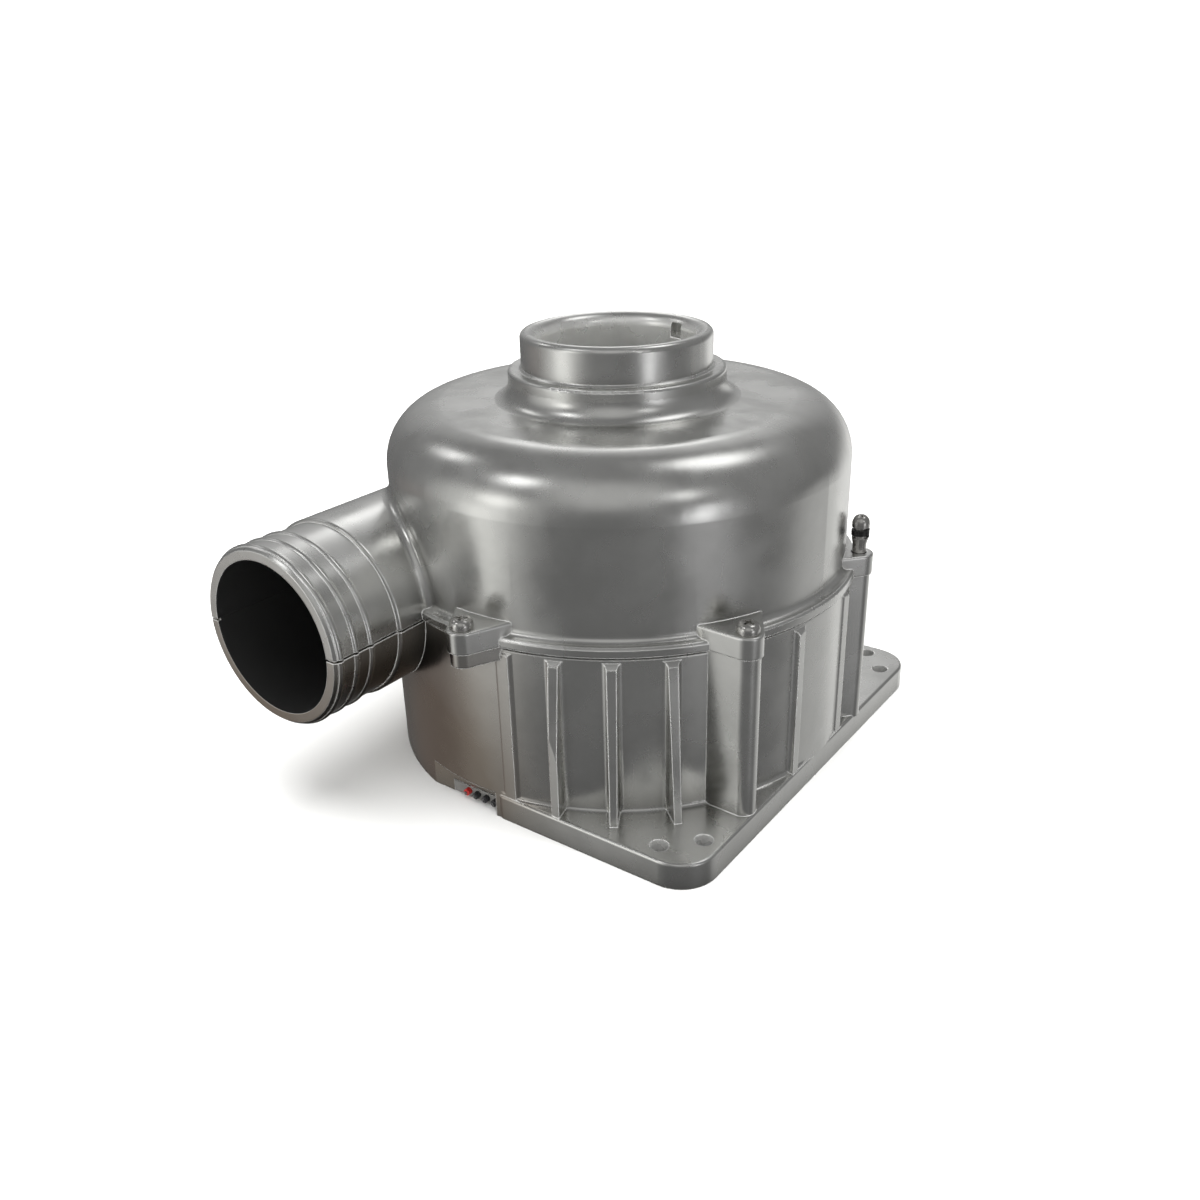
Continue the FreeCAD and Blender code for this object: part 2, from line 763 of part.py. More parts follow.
# The guide between the inlet and the impeller's eye, bolted under the dome's inner collar.
def inlet_nozzle():
    sleeve = eye_radius + shroud_thickness + nozzle_gap
    lip = eye_height + nozzle_gap
    skirt = bend_height + shroud_thickness + nozzle_gap
    rim = scroll_inner - nozzle_rim_gap
    rim_low = shroud_rim + shroud_thickness + nozzle_gap
    flange_low = nozzle_seat - nozzle_flange_thickness
    flange = nozzle_flange - nozzle_flange_gap
    body = turned((inlet_bore_radius, nozzle_seat), (nozzle_throat_radius, lip + throat_length),
                  (nozzle_throat_radius, lip),
                  (sleeve, lip), (sleeve, skirt), (rim, rim_low), (rim, rim_low + nozzle_wall),
                  (sleeve + nozzle_wall, skirt + nozzle_wall), (sleeve + nozzle_wall, flange_low),
                  (flange, flange_low), (flange, nozzle_seat))
    for angle in nozzle_screw_angles:
        spot = polar(nozzle_screw_circle, angle)
        body = body.cut(cylinder(screw_shank_radius + screw_clearance, flange_low, nozzle_seat, spot))
        body = body.cut(cylinder(screw_head_radius + screw_clearance, skirt, flange_low, spot))
    return body


def nozzle_screws():
    seat = nozzle_seat - nozzle_flange_thickness
    screw = pointing_up(pan_screw(Vector(0, 0, 0), seat, nozzle_screw_length), seat)
    spots = [polar(nozzle_screw_circle, angle) for angle in nozzle_screw_angles]
    return Part.makeCompound([screw.translated(spot) for spot in spots])


# Outline of the impeller's air passage between the disc and the shroud, for trimming the blades.
def passage_region():
    inner = impeller_hub - 0.5
    return turned((inner, disc_top - 0.1), (impeller_radius, disc_top - 0.1), (impeller_radius, shroud_rim),
                  ((shroud_knee, shroud_rim + shroud_rise), (eye_radius, bend_height)), (inner, bend_height))


# One backward-curved blade: its tip trails the direction of rotation, which is anticlockwise from above.
def blade(angle):
    back_points = []
    front_points = []
    for index in range(blade_points):
        share = index / (blade_points - 1)
        radius = blade_inner_radius + share * (impeller_radius + 1.0 - blade_inner_radius)
        turn = angle - blade_wrap * share ** 0.8
        half = math.degrees(0.8 * blade_thickness / radius)
        back_points.append(polar(radius, turn - half, disc_top - 0.05))
        front_points.append(polar(radius, turn + half, disc_top - 0.05))
    back = Part.BSplineCurve()
    back.interpolate(back_points)
    front = Part.BSplineCurve()
    front.interpolate(front_points)
    edges = [back.toShape(), Part.LineSegment(back_points[-1], front_points[-1]).toShape(),
             front.toShape(), Part.LineSegment(front_points[0], back_points[0]).toShape()]
    outline = Part.Face(Part.Wire(Part.__sortEdges__(edges)))
    return outline.extrude(Vector(0, 0, bend_height - disc_top + 1))


def impeller_disc():
    disc = turned((0, impeller_low), (impeller_radius, impeller_low), (impeller_radius, disc_top),
                  (hub_foot, disc_top),
                  ((0.6 * hub_foot, disc_top + 0.2 * hub_foot), (impeller_hub, hub_top - 2.0)),
                  (impeller_hub, hub_top), (0, hub_top))
    trim = passage_region()
    for index in range(blade_count):
        disc = disc.fuse(blade(index * 360.0 / blade_count).common(trim))
    return disc.cut(cylinder(shaft_radius + seat_gap, impeller_low, hub_top))


def impeller_shroud():
    outer = shroud_thickness
    return turned((impeller_radius, shroud_rim),
                  ((shroud_knee, shroud_rim + shroud_rise), (eye_radius, bend_height)),
                  (eye_radius, eye_height), (eye_radius + outer, eye_height),
                  (eye_radius + outer, bend_height + outer / 2),
                  ((shroud_knee + shroud_knee_offset, shroud_rim + shroud_rise + outer),
                   (impeller_radius, shroud_rim + outer)))


def shaft():
    return turned((0, shaft_low), (shaft_radius - shaft_bevel, shaft_low),
                  (shaft_radius, shaft_low + shaft_bevel), (shaft_radius, hub_top), (thread_radius, hub_top),
                  (thread_radius, stud_top - edge_chamfer), (thread_radius - edge_chamfer, stud_top),
                  (0, stud_top))


def impeller_washer():
    return ring(washer_radius, thread_radius + seat_gap, hub_top, nut_low)


def impeller_nut():
    corner = nut_across / math.sqrt(3)
    points = [polar(corner, 60 * index, nut_low) for index in range(7)]
    body = Part.Face(Part.makePolygon(points)).extrude(Vector(0, 0, nut_height))
    nut_top = nut_low + nut_height
    bevel = turned((0, nut_low), (corner, nut_low), (corner, nut_top - nut_bevel),
                   (corner - nut_bevel, nut_top), (0, nut_top))
    return body.common(bevel).cut(cylinder(thread_radius + seat_gap, nut_low, nut_low + nut_height))


def impeller_collar():
    return ring(collar_seat_radius, shaft_radius + seat_gap, upper_bearing_top, impeller_low)


def spacer_washers():
    lower = ring(spacer_radius, shaft_radius + seat_gap, lower_bearing_top, rotor_low)
    upper = ring(spacer_radius, shaft_radius + seat_gap, rotor_top, upper_bearing_low)
    return Part.makeCompound([lower, upper])


def rotor_core():
    return ring(rotor_radius, shaft_radius + seat_gap, rotor_low, rotor_top)


def rotor_magnets():
    full = ring(magnet_radius, rotor_radius, rotor_low + magnet_inset, rotor_top - magnet_inset)
    for index in range(magnet_count):
        slot = block((0, -magnet_gap / 2, 0), (magnet_radius + 1, magnet_gap / 2, rotor_top))
        full = full.cut(turned_about(slot, index * 360.0 / magnet_count))
    return Part.makeCompound(full.Solids)


def magnet_sleeve():
    return ring(magnet_radius + sleeve_wall, magnet_radius, rotor_low + magnet_inset, rotor_top - magnet_inset)


def race_groove(height):
    middle = (bearing_inner + bearing_outer) / 2
    return Part.makeTorus(middle, ball_radius + race_gap, Vector(0, 0, height))


def bearing_heights():
    half = bearing_width / 2
    return [lower_bearing_low + half, upper_bearing_low + half]


def bearing_outer_rings():
    half = bearing_width / 2
    return Part.makeCompound([ring(bearing_radius, bearing_outer, h - half, h + half).cut(race_groove(h))
                              for h in bearing_heights()])


def bearing_inner_rings():
    half = bearing_width / 2
    rings = []
    for h in bearing_heights():
        rings.append(ring(bearing_inner, shaft_radius + seat_gap, h - half, h + half).cut(race_groove(h)))
    return Part.makeCompound(rings)


def bearing_balls():
    middle = (bearing_inner + bearing_outer) / 2
    return Part.makeCompound([Part.makeSphere(ball_radius, polar(middle, 360.0 * index / ball_count, h))
                              for h in bearing_heights() for index in range(ball_count)])


def wave_spring():
    outer = bearing_radius - coil_gap
    return ring(outer, outer - spring_width, cap_floor, cap_floor + spring_height)


def tooth_shape(low, high, grow=0.0):
    half = tooth_width / 2 + grow
    teeth = ring(stator_radius - yoke_width + 0.5, air_gap_radius + 0.2, low, high)
    arms = []
    for index in range(tooth_count):
        arm = block((air_gap_radius, -half, low), (stator_radius - yoke_width + 0.5, half, high))
        arms.append(turned_about(arm, index * 360.0 / tooth_count).common(teeth))
    return arms


def stator_outline(low, high, yoke, tip):
    body = ring(stator_radius, stator_radius - yoke, low, high)
    tips = ring(air_gap_radius + tip, air_gap_radius, low, high)
    pitch = 360.0 / tooth_count
    for index in range(tooth_count):
        slot = block((0, -slot_opening / 2, low), (stator_radius - yoke, slot_opening / 2, high))
        tips = tips.cut(turned_about(slot, (index + 0.5) * pitch))
    body = body.fuse(tips)
    for arm in tooth_shape(low, high):
        body = body.fuse(arm)
    return body.removeSplitter()


def stator_core():
    return stator_outline(core_low, core_top, yoke_width, tooth_tip)


# Plastic end plates that follow the core's teeth and stay inside the end cap's clamping ring.
def stator_insulators():
    plates = []
    for low, high in ((core_low - insulator_thickness, core_low), (core_top, core_top + insulator_thickness)):
        outline = stator_outline(low, high, yoke_width + insulator_lap, tooth_tip)
        plates.append(outline.common(cylinder(clamp_ring_inner - 0.2, low, high)))
    return Part.makeCompound(plates)


def stator_coils():
    low = core_low - insulator_thickness - coil_gap
    high = core_top + insulator_thickness + coil_gap
    half = tooth_width / 2 + coil_gap
    outer = block((coil_inner_radius, -half - coil_thickness, low - coil_thickness),
                  (coil_outer_radius, half + coil_thickness, high + coil_thickness))
    along = [edge for edge in outer.Edges if edge.BoundBox.XLength > coil_thickness]
    outer = outer.makeFillet(coil_thickness, along)
    coil = outer.cut(block((coil_inner_radius, -half, low), (coil_outer_radius, half, high)))
    step = 360.0 / tooth_count
    return Part.makeCompound([turned_about(coil, index * step) for index in range(tooth_count)])


def motor_end_cap():
    body = cylinder(motor_wall, end_cap_low, end_cap_seat)
    body = body.fuse(ring(stator_radius - cover_gap, clamp_ring_inner, end_cap_seat, core_low))
    body = body.fuse(cylinder(hub_radius, end_cap_seat, lower_bearing_top - 2 * cover_gap))
    for angle in cap_screw_angles:
        body = body.fuse(cylinder(cap_screw_boss, end_cap_low, end_cap_seat, polar(cap_screw_circle, angle)))
        arm = block((motor_wall - cap_screw_boss, -cap_screw_boss, end_cap_low),
                    (cap_screw_circle, cap_screw_boss, end_cap_seat))
        body = body.fuse(turned_about(arm, angle))
    for angle in cap_screw_angles:
        post = polar(board_post_circle, angle + 60)
        body = body.fuse(cylinder(board_post_radius, board_top, end_cap_low, post))
    body = body.cut(cylinder(bearing_radius + seat_gap, cap_floor, lower_bearing_top))
    window = turned((cap_window_inner, end_cap_low), (cap_window_outer, end_cap_low),
                    (cap_window_outer, end_cap_seat), (cap_window_inner, end_cap_seat), sweep=cap_window_sweep)
    for angle in cap_screw_angles:
        spot = polar(cap_screw_circle, angle)
        hole = cylinder(screw_shank_radius + screw_clearance, end_cap_low, end_cap_seat, spot)
        body = body.cut(hole).cut(turned_about(window, angle + 60 - cap_window_sweep / 2))
    return body.removeSplitter()


def end_cap_screws():
    length = end_cap_thickness + cap_screw_length - 1
    screw = pan_screw(Vector(0, 0, 0), end_cap_low, length, height=1.6)
    screw = pointing_up(screw, end_cap_low)
    spots = [polar(cap_screw_circle, angle) for angle in cap_screw_angles]
    return Part.makeCompound([screw.translated(spot) for spot in spots])


def driver_board():
    body = cylinder(board_radius, board_low, board_top)
    for index in range(lead_count):
        spot = Vector(lead_x(index), -lead_rise, 0)
        body = body.cut(cylinder(lead_radius + exit_clearance, board_low, board_top, spot))
    return body


def capacitors():
    cans = []
    top = board_top + capacitor_height
    for angle in capacitor_angles:
        can = cylinder(capacitor_radius, board_top, top, polar(capacitor_circle, angle))
        rim = [edge for edge in can.Edges if edge.BoundBox.ZMin > top - capacitor_edge]
        cans.append(can.makeFillet(capacitor_edge, rim))
    return Part.makeCompound(cans)


def power_transistors():
    width, length, height = transistor_size
    package = block((transistor_circle - length / 2, -width / 2, board_top),
                    (transistor_circle + length / 2, width / 2, board_top + height))
    pitch = 360.0 / transistor_count
    return Part.makeCompound([turned_about(package, index * pitch) for index in range(transistor_count)])


def controller_chip():
    width, length, height = chip_size
    return block((-width / 2, -length / 2, board_top), (width / 2, length / 2, board_top + height))


def bottom_cover():
    body = cylinder(cover_radius, 0, cover_thickness)
    for angle in cap_screw_angles:
        pad = polar(board_post_circle, angle + 60)
        body = body.fuse(cylinder(board_post_radius, cover_thickness, board_low, pad))
    hole = countersunk(cover_screw_head_radius + cover_screw_sink + seat_gap,
                       cover_screw_shank_radius + exit_clearance, cover_thickness)
    for angle in cover_screw_angles:
        body = body.cut(hole.translated(polar(cover_screw_circle, angle)))
    return body.cut(block((exit_low_x, -cover_radius - 1, 0), (plate_end, -exit_end, cover_thickness)))


def countersunk(head, shank, length):
    return turned((0, 0), (head, 0), (shank, head - shank), (shank, length), (0, length))


def cover_screws():
    body = countersunk(cover_screw_head_radius, cover_screw_shank_radius, cover_thickness + cover_screw_length - 1)
    bar = block((-0.55 * cover_screw_head_radius, -0.22, 0), (0.55 * cover_screw_head_radius, 0.22, 0.7))
    body = body.cut(bar.fuse(turned_about(bar, 90)))
    sink = Vector(0, 0, cover_screw_sink)
    return Part.makeCompound([body.translated(polar(cover_screw_circle, angle) + sink)
                              for angle in cover_screw_angles])


def lead_x(index):
    return lead_first_x + index * lead_pitch


# A lead comes out level through the grommet; inside, it turns up through the board and ends on its top face.
def lead(index):
    x = lead_x(index)
    turn_start = Vector(x, -lead_rise - lead_bend, lead_height)
    turn_end = Vector(x, -lead_rise, lead_height + lead_bend)
    share = lead_bend * (1 - math.sin(math.radians(45)))
    turn_middle = Vector(x, -lead_rise - share, lead_height + share)
    path = Part.Wire([Part.LineSegment(Vector(x, -exit_flat - lead_reach, lead_height), turn_start).toShape(),
                      Part.Arc(turn_start, turn_middle, turn_end).toShape(),
                      Part.LineSegment(turn_end, Vector(x, -lead_rise, board_top)).toShape()])
    end = Part.Wire(Part.Circle(Vector(x, -exit_flat - lead_reach, lead_height), Vector(0, 1, 0),
                                lead_radius).toShape())
    return path.makePipeShell([end], True, False)


def red_lead():
    return lead(0)


def dark_leads():
    return Part.makeCompound([lead(index) for index in range(1, lead_count)])


# A block that fills the exit, with a thin flap that closes the cover's notch under the leads.
def cable_grommet():
    low_x = exit_low_x + exit_clearance
    high_x = plate_end - exit_clearance
    back = exit_flat - grommet_depth
    body = block((low_x, -exit_flat, exit_clearance), (high_x, -back, exit_height - exit_clearance))
    body = body.fuse(block((low_x, -back, exit_clearance), (high_x, -exit_end - exit_clearance, grommet_flap)))
    for index in range(lead_count):
        start = Vector(lead_x(index), -back + 1, lead_height)
        body = body.cut(Part.makeCylinder(lead_radius + seat_gap, grommet_depth + 2, start, Vector(0, -1, 0)))
    return body.removeSplitter()


nodes = {
    "upper_housing": upper_housing,
    "lower_housing": lower_housing,
    "housing_gasket": gasket,
    "short_lug_screws": short_lug_screws,
    "long_lug_screws": long_lug_screws,
    "raised_lug_screw": raised_lug_screw,
    "inlet_nozzle": inlet_nozzle,
    "nozzle_screws": nozzle_screws,
    "impeller_disc": impeller_disc,
    "impeller_shroud": impeller_shroud,
    "impeller_washer": impeller_washer,
    "impeller_nut": impeller_nut,
    "impeller_collar": impeller_collar,
    "shaft": shaft,
    "spacer_washers": spacer_washers,
    "rotor_core": rotor_core,
    "rotor_magnets": rotor_magnets,
    "magnet_sleeve": magnet_sleeve,
    "bearing_outer_rings": bearing_outer_rings,
    "bearing_balls": bearing_balls,
    "bearing_inner_rings": bearing_inner_rings,
    "wave_spring": wave_spring,
    "stator_core": stator_core,
    "stator_insulators": stator_insulators,
    "stator_coils": stator_coils,
    "motor_end_cap": motor_end_cap,
    "end_cap_screws": end_cap_screws,
    "driver_board": driver_board,
    "capacitors": capacitors,
    "power_transistors": power_transistors,
    "controller_chip": controller_chip,
    "cable_grommet": cable_grommet,
    "red_lead": red_lead,
    "dark_leads": dark_leads,
    "bottom_cover": bottom_cover,
    "cover_screws": cover_screws,
}

os.makedirs("parts", exist_ok=True)
for name, build in nodes.items():
    shape = build()
    shape.exportStep("parts/" + name + ".step")
    print(name, len(shape.Solids), round(shape.Volume, 1), shape.isValid())
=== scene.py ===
import bmesh
import bpy
import math
from mathutils import Matrix, Vector


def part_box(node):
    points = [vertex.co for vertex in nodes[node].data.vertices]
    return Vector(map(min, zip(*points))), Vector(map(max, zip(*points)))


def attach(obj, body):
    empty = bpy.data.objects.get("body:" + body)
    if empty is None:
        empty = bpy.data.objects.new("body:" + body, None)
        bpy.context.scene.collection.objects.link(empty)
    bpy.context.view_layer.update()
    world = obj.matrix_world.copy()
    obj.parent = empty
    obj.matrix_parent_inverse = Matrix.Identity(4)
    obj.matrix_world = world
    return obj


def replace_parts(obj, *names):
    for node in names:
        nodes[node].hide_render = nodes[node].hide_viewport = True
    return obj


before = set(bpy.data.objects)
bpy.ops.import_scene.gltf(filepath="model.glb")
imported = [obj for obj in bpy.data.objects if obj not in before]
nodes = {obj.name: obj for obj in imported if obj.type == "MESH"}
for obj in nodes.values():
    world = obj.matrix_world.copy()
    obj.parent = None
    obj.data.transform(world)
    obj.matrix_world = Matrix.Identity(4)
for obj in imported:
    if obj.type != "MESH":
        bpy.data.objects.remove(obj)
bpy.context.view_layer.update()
scene = bpy.context.scene
mm = 0.001


# ---- shader links: python arithmetic on a link adds Math nodes
class Link:
    def __init__(self, tree, socket=None):
        self.tree = tree
        self.socket = socket

    def node(self, kind, settings=None, inputs=None, output=0):
        made = self.tree.nodes.new(kind)
        for name, value in (settings or {}).items():
            setattr(made, name, value)
        for name, value in (inputs or {}).items():
            if isinstance(value, Link):
                self.tree.links.new(value.socket, made.inputs[name])
            elif isinstance(value, tuple) and len(value) == 3 and made.inputs[name].type == "RGBA":
                made.inputs[name].default_value = (*value, 1)
            else:
                made.inputs[name].default_value = value
        return Link(self.tree, made.outputs[output] if made.outputs else None)

    def maths(self, operation, first, second=0.0):
        return self.node("ShaderNodeMath", {"operation": operation}, {0: first, 1: second})

    def __add__(self, other):
        return self.maths("ADD", self, other)

    def __radd__(self, other):
        return self.maths("ADD", other, self)

    def __sub__(self, other):
        return self.maths("SUBTRACT", self, other)

    def __rsub__(self, other):
        return self.maths("SUBTRACT", other, self)

    def __mul__(self, other):
        return self.maths("MULTIPLY", self, other)

    def __rmul__(self, other):
        return self.maths("MULTIPLY", other, self)

    def __pow__(self, other):
        return self.maths("POWER", self, other)

    def clamped(self, low=0.0, high=1.0):
        return self.node("ShaderNodeClamp", {}, {0: self, 1: low, 2: high})

    def step(self, low, high):  # 0 below low, 1 above high, smooth between
        return self.node("ShaderNodeMapRange", {"interpolation_type": "SMOOTHSTEP"}, {0: self, 1: low, 2: high})

    def within(self, end, fade):  # 1 up to end, 0 past it, smooth over the fade before it
        return 1.0 - self.step(end - fade, end)

    def dot(self, direction):
        return self.node("ShaderNodeVectorMath", {"operation": "DOT_PRODUCT"}, {0: self, 1: direction}, "Value")

    def part(self, index):  # 0, 1, 2 for x, y, z
        return self.node("ShaderNodeSeparateXYZ", {}, {0: self}, index)

    def noise(self, scale, detail=2.0, roughness=0.5):
        return self.node("ShaderNodeTexNoise", {}, {"Vector": self, "Scale": scale, "Detail": detail,
                                                    "Roughness": roughness})

    def mixed(self, first, second):  # colours, with this link as the factor
        return self.node("ShaderNodeMix", {"data_type": "RGBA"}, {0: self, 6: first, 7: second}, 2)


def newMaterial(name):
    material = bpy.data.materials.new(name)
    material.use_nodes = True
    material.node_tree.nodes.clear()
    start = Link(material.node_tree)
    place = start.node("ShaderNodeTexCoord", output="Object")
    return material, start, place


def finishMaterial(material, start, sockets):
    surface = start.node("ShaderNodeBsdfPrincipled", {}, sockets)
    start.node("ShaderNodeOutputMaterial", {}, {"Surface": surface})
    return material


def bumped(start, height, strength, distance, normal):
    return start.node("ShaderNodeBump", {}, {"Height": height, "Strength": strength, "Distance": distance,
                                             "Normal": normal})


# ---- camera
cameraLook = {
    "place": (0.12096, -0.17115, 0.12059),
    "yaw": 36.43,
    "pitch": 24.52,
    "roll": -1.51,
    "focal": 1127.94,  # pixels on the 1200 pixel frame
    "frame": 1200,
    "sensor": 36.0,
}


def makeCamera(look):
    yaw, pitch, roll = (math.radians(look[k]) for k in ("yaw", "pitch", "roll"))
    ahead = Vector((-math.sin(yaw) * math.cos(pitch), math.cos(yaw) * math.cos(pitch), -math.sin(pitch)))
    side = Vector((math.cos(yaw), math.sin(yaw), 0))
    above = side.cross(ahead)
    right = side * math.cos(roll) + above * math.sin(roll)
    up = above * math.cos(roll) - side * math.sin(roll)
    camera = bpy.data.objects.new("camera", bpy.data.cameras.new("camera"))
    camera.data.sensor_width = look["sensor"]
    camera.data.lens = look["focal"] * look["sensor"] / look["frame"]
    camera.data.clip_start = 0.005
    camera.data.dof.use_dof = False
    turn = Matrix((right, up, -ahead)).transposed().to_4x4()
    camera.matrix_world = Matrix.Translation(look["place"]) @ turn
    scene.collection.objects.link(camera)
    scene.camera = camera


makeCamera(cameraLook)
print("camera placed")


# ---- studio: pale floor, soft lamps, a grey room for the metal to reflect
studio = {
    "floorRadius": 1.6,
    "wallRadius": 0.7,
    "wallHeight": 1.2,
    "bendSteps": 8,
    "roundSteps": 64,
    "floorShade": (0.86, 0.86, 0.85),
    "floorClouds": 3.0,
    "floorRoughness": 0.9,
    "backGlow": (0.75, 0.75, 0.75),
    "backGlowHeights": (0.02, 0.6),
    "topLight": {"size": 1.6, "height": 1.5, "power": 36.0},
    "roomShade": 0.21,
    "roomDark": 0.15,
    "ground": 0.025,
    "roomHeights": (-0.5, 0.45),
    "groundHeights": (-0.92, -0.5),
    # direction as azimuth and height above the horizon, reach in degrees, strength, tint
    "lamps": [
        (-124, -4, 38, 0.40, (1.0, 1.0, 0.97)),   # pale wall at the left
        (-121, -11, 16, 0.54, (1.0, 1.0, 0.97)),
        (-128, -27, 18, 0.10, (1.0, 1.0, 0.95)),
        (-113, 12, 12, 1.35, (1.0, 1.0, 0.97)),
        (-118, 47, 10, 2.5, (1.0, 1.0, 1.0)),
        (-175, 39, 8, 2.0, (1.0, 1.0, 1.0)),
        (-62, 38, 34, 0.26, (1.0, 1.0, 0.98)),     # soft glow over the viewer
        (-12, -12, 22, 0.22, (0.98, 0.98, 1.0)),   # window at the right
        (-17, -8, 10, 1.15, (0.98, 0.98, 1.0)),
        (-14, 4, 9, 1.0, (0.98, 0.98, 1.0)),
        (-22, 30, 10, 1.2, (1.0, 1.0, 1.0)),
        (53, 64, 16, 1.7, (1.0, 1.0, 1.0)),
        (92, -19, 28, 0.75, (1.0, 1.0, 0.98)),     # pale wall behind
        (55, -27, 24, 0.30, (1.0, 1.0, 0.98)),
        (125, 20, 40, 0.22, (1.0, 1.0, 1.0)),
        (126, 32, 12, 1.4, (1.0, 1.0, 1.0)),
        (115, 45, 20, 0.2, (1.0, 1.0, 1.0)),
        (-165, -30, 30, 0.08, (1.0, 0.72, 0.6)),
    ],
}


def direction(azimuth, elevation):
    a, e = math.radians(azimuth), math.radians(elevation)
    return (math.cos(a) * math.cos(e), math.sin(a) * math.cos(e), math.sin(e))


def makeStudio(look):
    bm = bmesh.new()
    profile = [(0.0, 0.0), (look["floorRadius"], 0.0)]
    for index in range(1, look["bendSteps"] + 1):
        turn = math.radians(90 * index / look["bendSteps"])
        profile.append((look["floorRadius"] + look["wallRadius"] * math.sin(turn),
                        look["wallRadius"] * (1 - math.cos(turn))))
    profile.append((profile[-1][0], look["wallRadius"] + look["wallHeight"]))
    verts = [bm.verts.new((r, 0, z)) for r, z in profile]
    edges = [bm.edges.new(pair) for pair in zip(verts, verts[1:])]
    bmesh.ops.spin(bm, geom=verts + edges, cent=(0, 0, 0), axis=(0, 0, 1), angle=math.tau,
                   steps=look["roundSteps"], use_merge=True)
    bmesh.ops.remove_doubles(bm, verts=bm.verts, dist=1e-5)
    bmesh.ops.recalc_face_normals(bm, faces=bm.faces)
    mesh = bpy.data.meshes.new("floor")
    bm.to_mesh(mesh)
    bm.free()
    for face in mesh.polygons:
        face.use_smooth = True
    floor = bpy.data.objects.new("floor", mesh)
    scene.collection.objects.link(floor)
    floor.visible_glossy = False
    material, start, place = newMaterial("paleFloor")
    dimmer = tuple(0.97 * c for c in look["floorShade"])
    shade = place.noise(look["floorClouds"]).mixed(look["floorShade"], dimmer)
    fade = place.part(2).step(*look["backGlowHeights"])
    mesh.materials.append(finishMaterial(material, start, {
        "Base Color": shade, "Roughness": look["floorRoughness"],
        "Emission Color": fade.mixed((0.0, 0.0, 0.0), look["backGlow"]),  # the backdrop fades to white
        "Emission Strength": 1.0}))

    lamp = bpy.data.lights.new("topLight", "AREA")
    lamp.shape = "DISK"
    lamp.size = look["topLight"]["size"]
    lamp.energy = look["topLight"]["power"]
    top = bpy.data.objects.new("topLight", lamp)
    top.location = (0, 0, look["topLight"]["height"])
    top.visible_glossy = False
    scene.collection.objects.link(top)

    world = bpy.data.worlds.new("room")
    scene.world = world
    world.use_nodes = True
    world.node_tree.nodes.clear()
    start = Link(world.node_tree)
    ray = start.node("ShaderNodeTexCoord", output="Generated")
    height = ray.dot((0, 0, 1))
    room = height.step(*look["roomHeights"]).mixed((look["roomDark"],) * 3, (look["roomShade"],) * 3)
    room = height.step(*look["groundHeights"]).mixed((look["ground"],) * 3, room)
    for azimuth, elevation, reach, strength, tint in look["lamps"]:
        near = ray.dot(direction(azimuth, elevation))
        glow = near.step(math.cos(math.radians(reach)), 1.0) * strength
        room = start.node("ShaderNodeVectorMath", {"operation": "ADD"}, {
            0: room, 1: start.node("ShaderNodeVectorMath", {"operation": "SCALE"}, {0: tint, "Scale": glow})})
    sky = start.node("ShaderNodeBackground", {}, {"Color": room, "Strength": 1.0})
    start.node("ShaderNodeOutputWorld", {}, {"Surface": sky})
    scene.view_settings.view_transform = "Standard"


makeStudio(studio)
print("studio lit")


# ---- finishes
middling = (0.3, 0.7)  # the part of a noise that is spread from 0 to 1
hairline = 0.04 * mm  # the softness of a mask's edge on a bare wall
outletLine = {"x": -28.5 * mm, "z": 35.4 * mm, "bore": 14.27 * mm, "from": -30.0 * mm, "fade": 4.0 * mm}
inletLine = {"radius": 15.4 * mm, "rim": 1.0 * mm, "outside": 17.0 * mm, "edge": 0.2 * mm,
             "low": 50.0 * mm, "rise": 2.0 * mm}
plateHoles = {"far": 41.93 * mm, "near": 36.51 * mm, "radius": 1.71 * mm, "top": 5.0 * mm,
              "edge": 0.2 * mm}
castLook = {
    "bright": (0.86, 0.86, 0.84),
    "dull": (0.72, 0.72, 0.70),
    "waveShare": 0.6,
    # painted highlight along rounded edges, partly rubbed metal
    "edgeWearAndHighlight": (0.93, 0.93, 0.92),
    "edgeWearAndHighlightCover": 0.75,
    # painted shade for corners and creases, from ambient occlusion
    "paintedCreaseShade": (0.24, 0.235, 0.22),
    "paintedCreaseShadeCover": (0.12, 0.78),  # on level faces, and more on upright ones
    "paintedCreaseShadeSpared": 0.9,  # of it, in the inlet
    "brownReflection": (0.33, 0.268, 0.21),  # painted reflection of a brown table and painted shade, low on the side that faces the outlet
    "brownReflectionSide": (-0.75, -0.66, 0.0),
    "brownReflectionReach": (0.012, 0.038),
    "brownReflectionTop": 60.0 * mm,
    "brownReflectionEnd": 35.5 * mm,  # the parting plane
    "brownReflectionEdge": 0.4 * mm,
    "brownReflectionCover": (0.75, 0.8, 0.85),  # steady, more with the waves, most
    "drilled": (0.58, 0.58, 0.57),
    # near-black painted shade inside the outlet's bore
    "boreShade": (0.012, 0.012, 0.012),
    "roughness": (0.22, 0.31),
    "cloudRoughness": 0.12,
    "skinRoughness": 0.06,
    "roughnessLimits": (0.12, 0.8),
    "darkRoughness": 0.75,
    "lessMetal": {"edgeWearAndHighlight": 0.45, "bore": 0.24, "drilled": 0.6, "boreShade": 0.9},
    "leastMetal": 0.3,
    "edge": 0.38 * mm,
    "edgeTurn": (0.02, 0.15),
    "crease": 7.0 * mm,
    "creaseDepth": (0.15, 0.9),
    # scale, detail, roughness
    "noises": {"waves": (85.0, 2.0, 0.5), "clouds": (150.0, 4.0, 0.6), "skin": (420.0, 3.0, 0.6),
               "grain": (2400.0, 2.0, 0.6)},
    # strength, distance
    "bumps": {"waves": (0.25, 0.00016), "skin": (0.2, 0.00004), "grain": (0.1, 0.00001)},
}


# 1 inside the outlet's bore, in its outer part, where painted shade goes
def outletMask(place):
    aside = place.part(0) - outletLine["x"]
    upward = place.part(2) - outletLine["z"]
    away = (aside * aside + upward * upward) ** 0.5
    return away.within(outletLine["bore"], hairline) * place.part(1).within(outletLine["from"], outletLine["fade"])


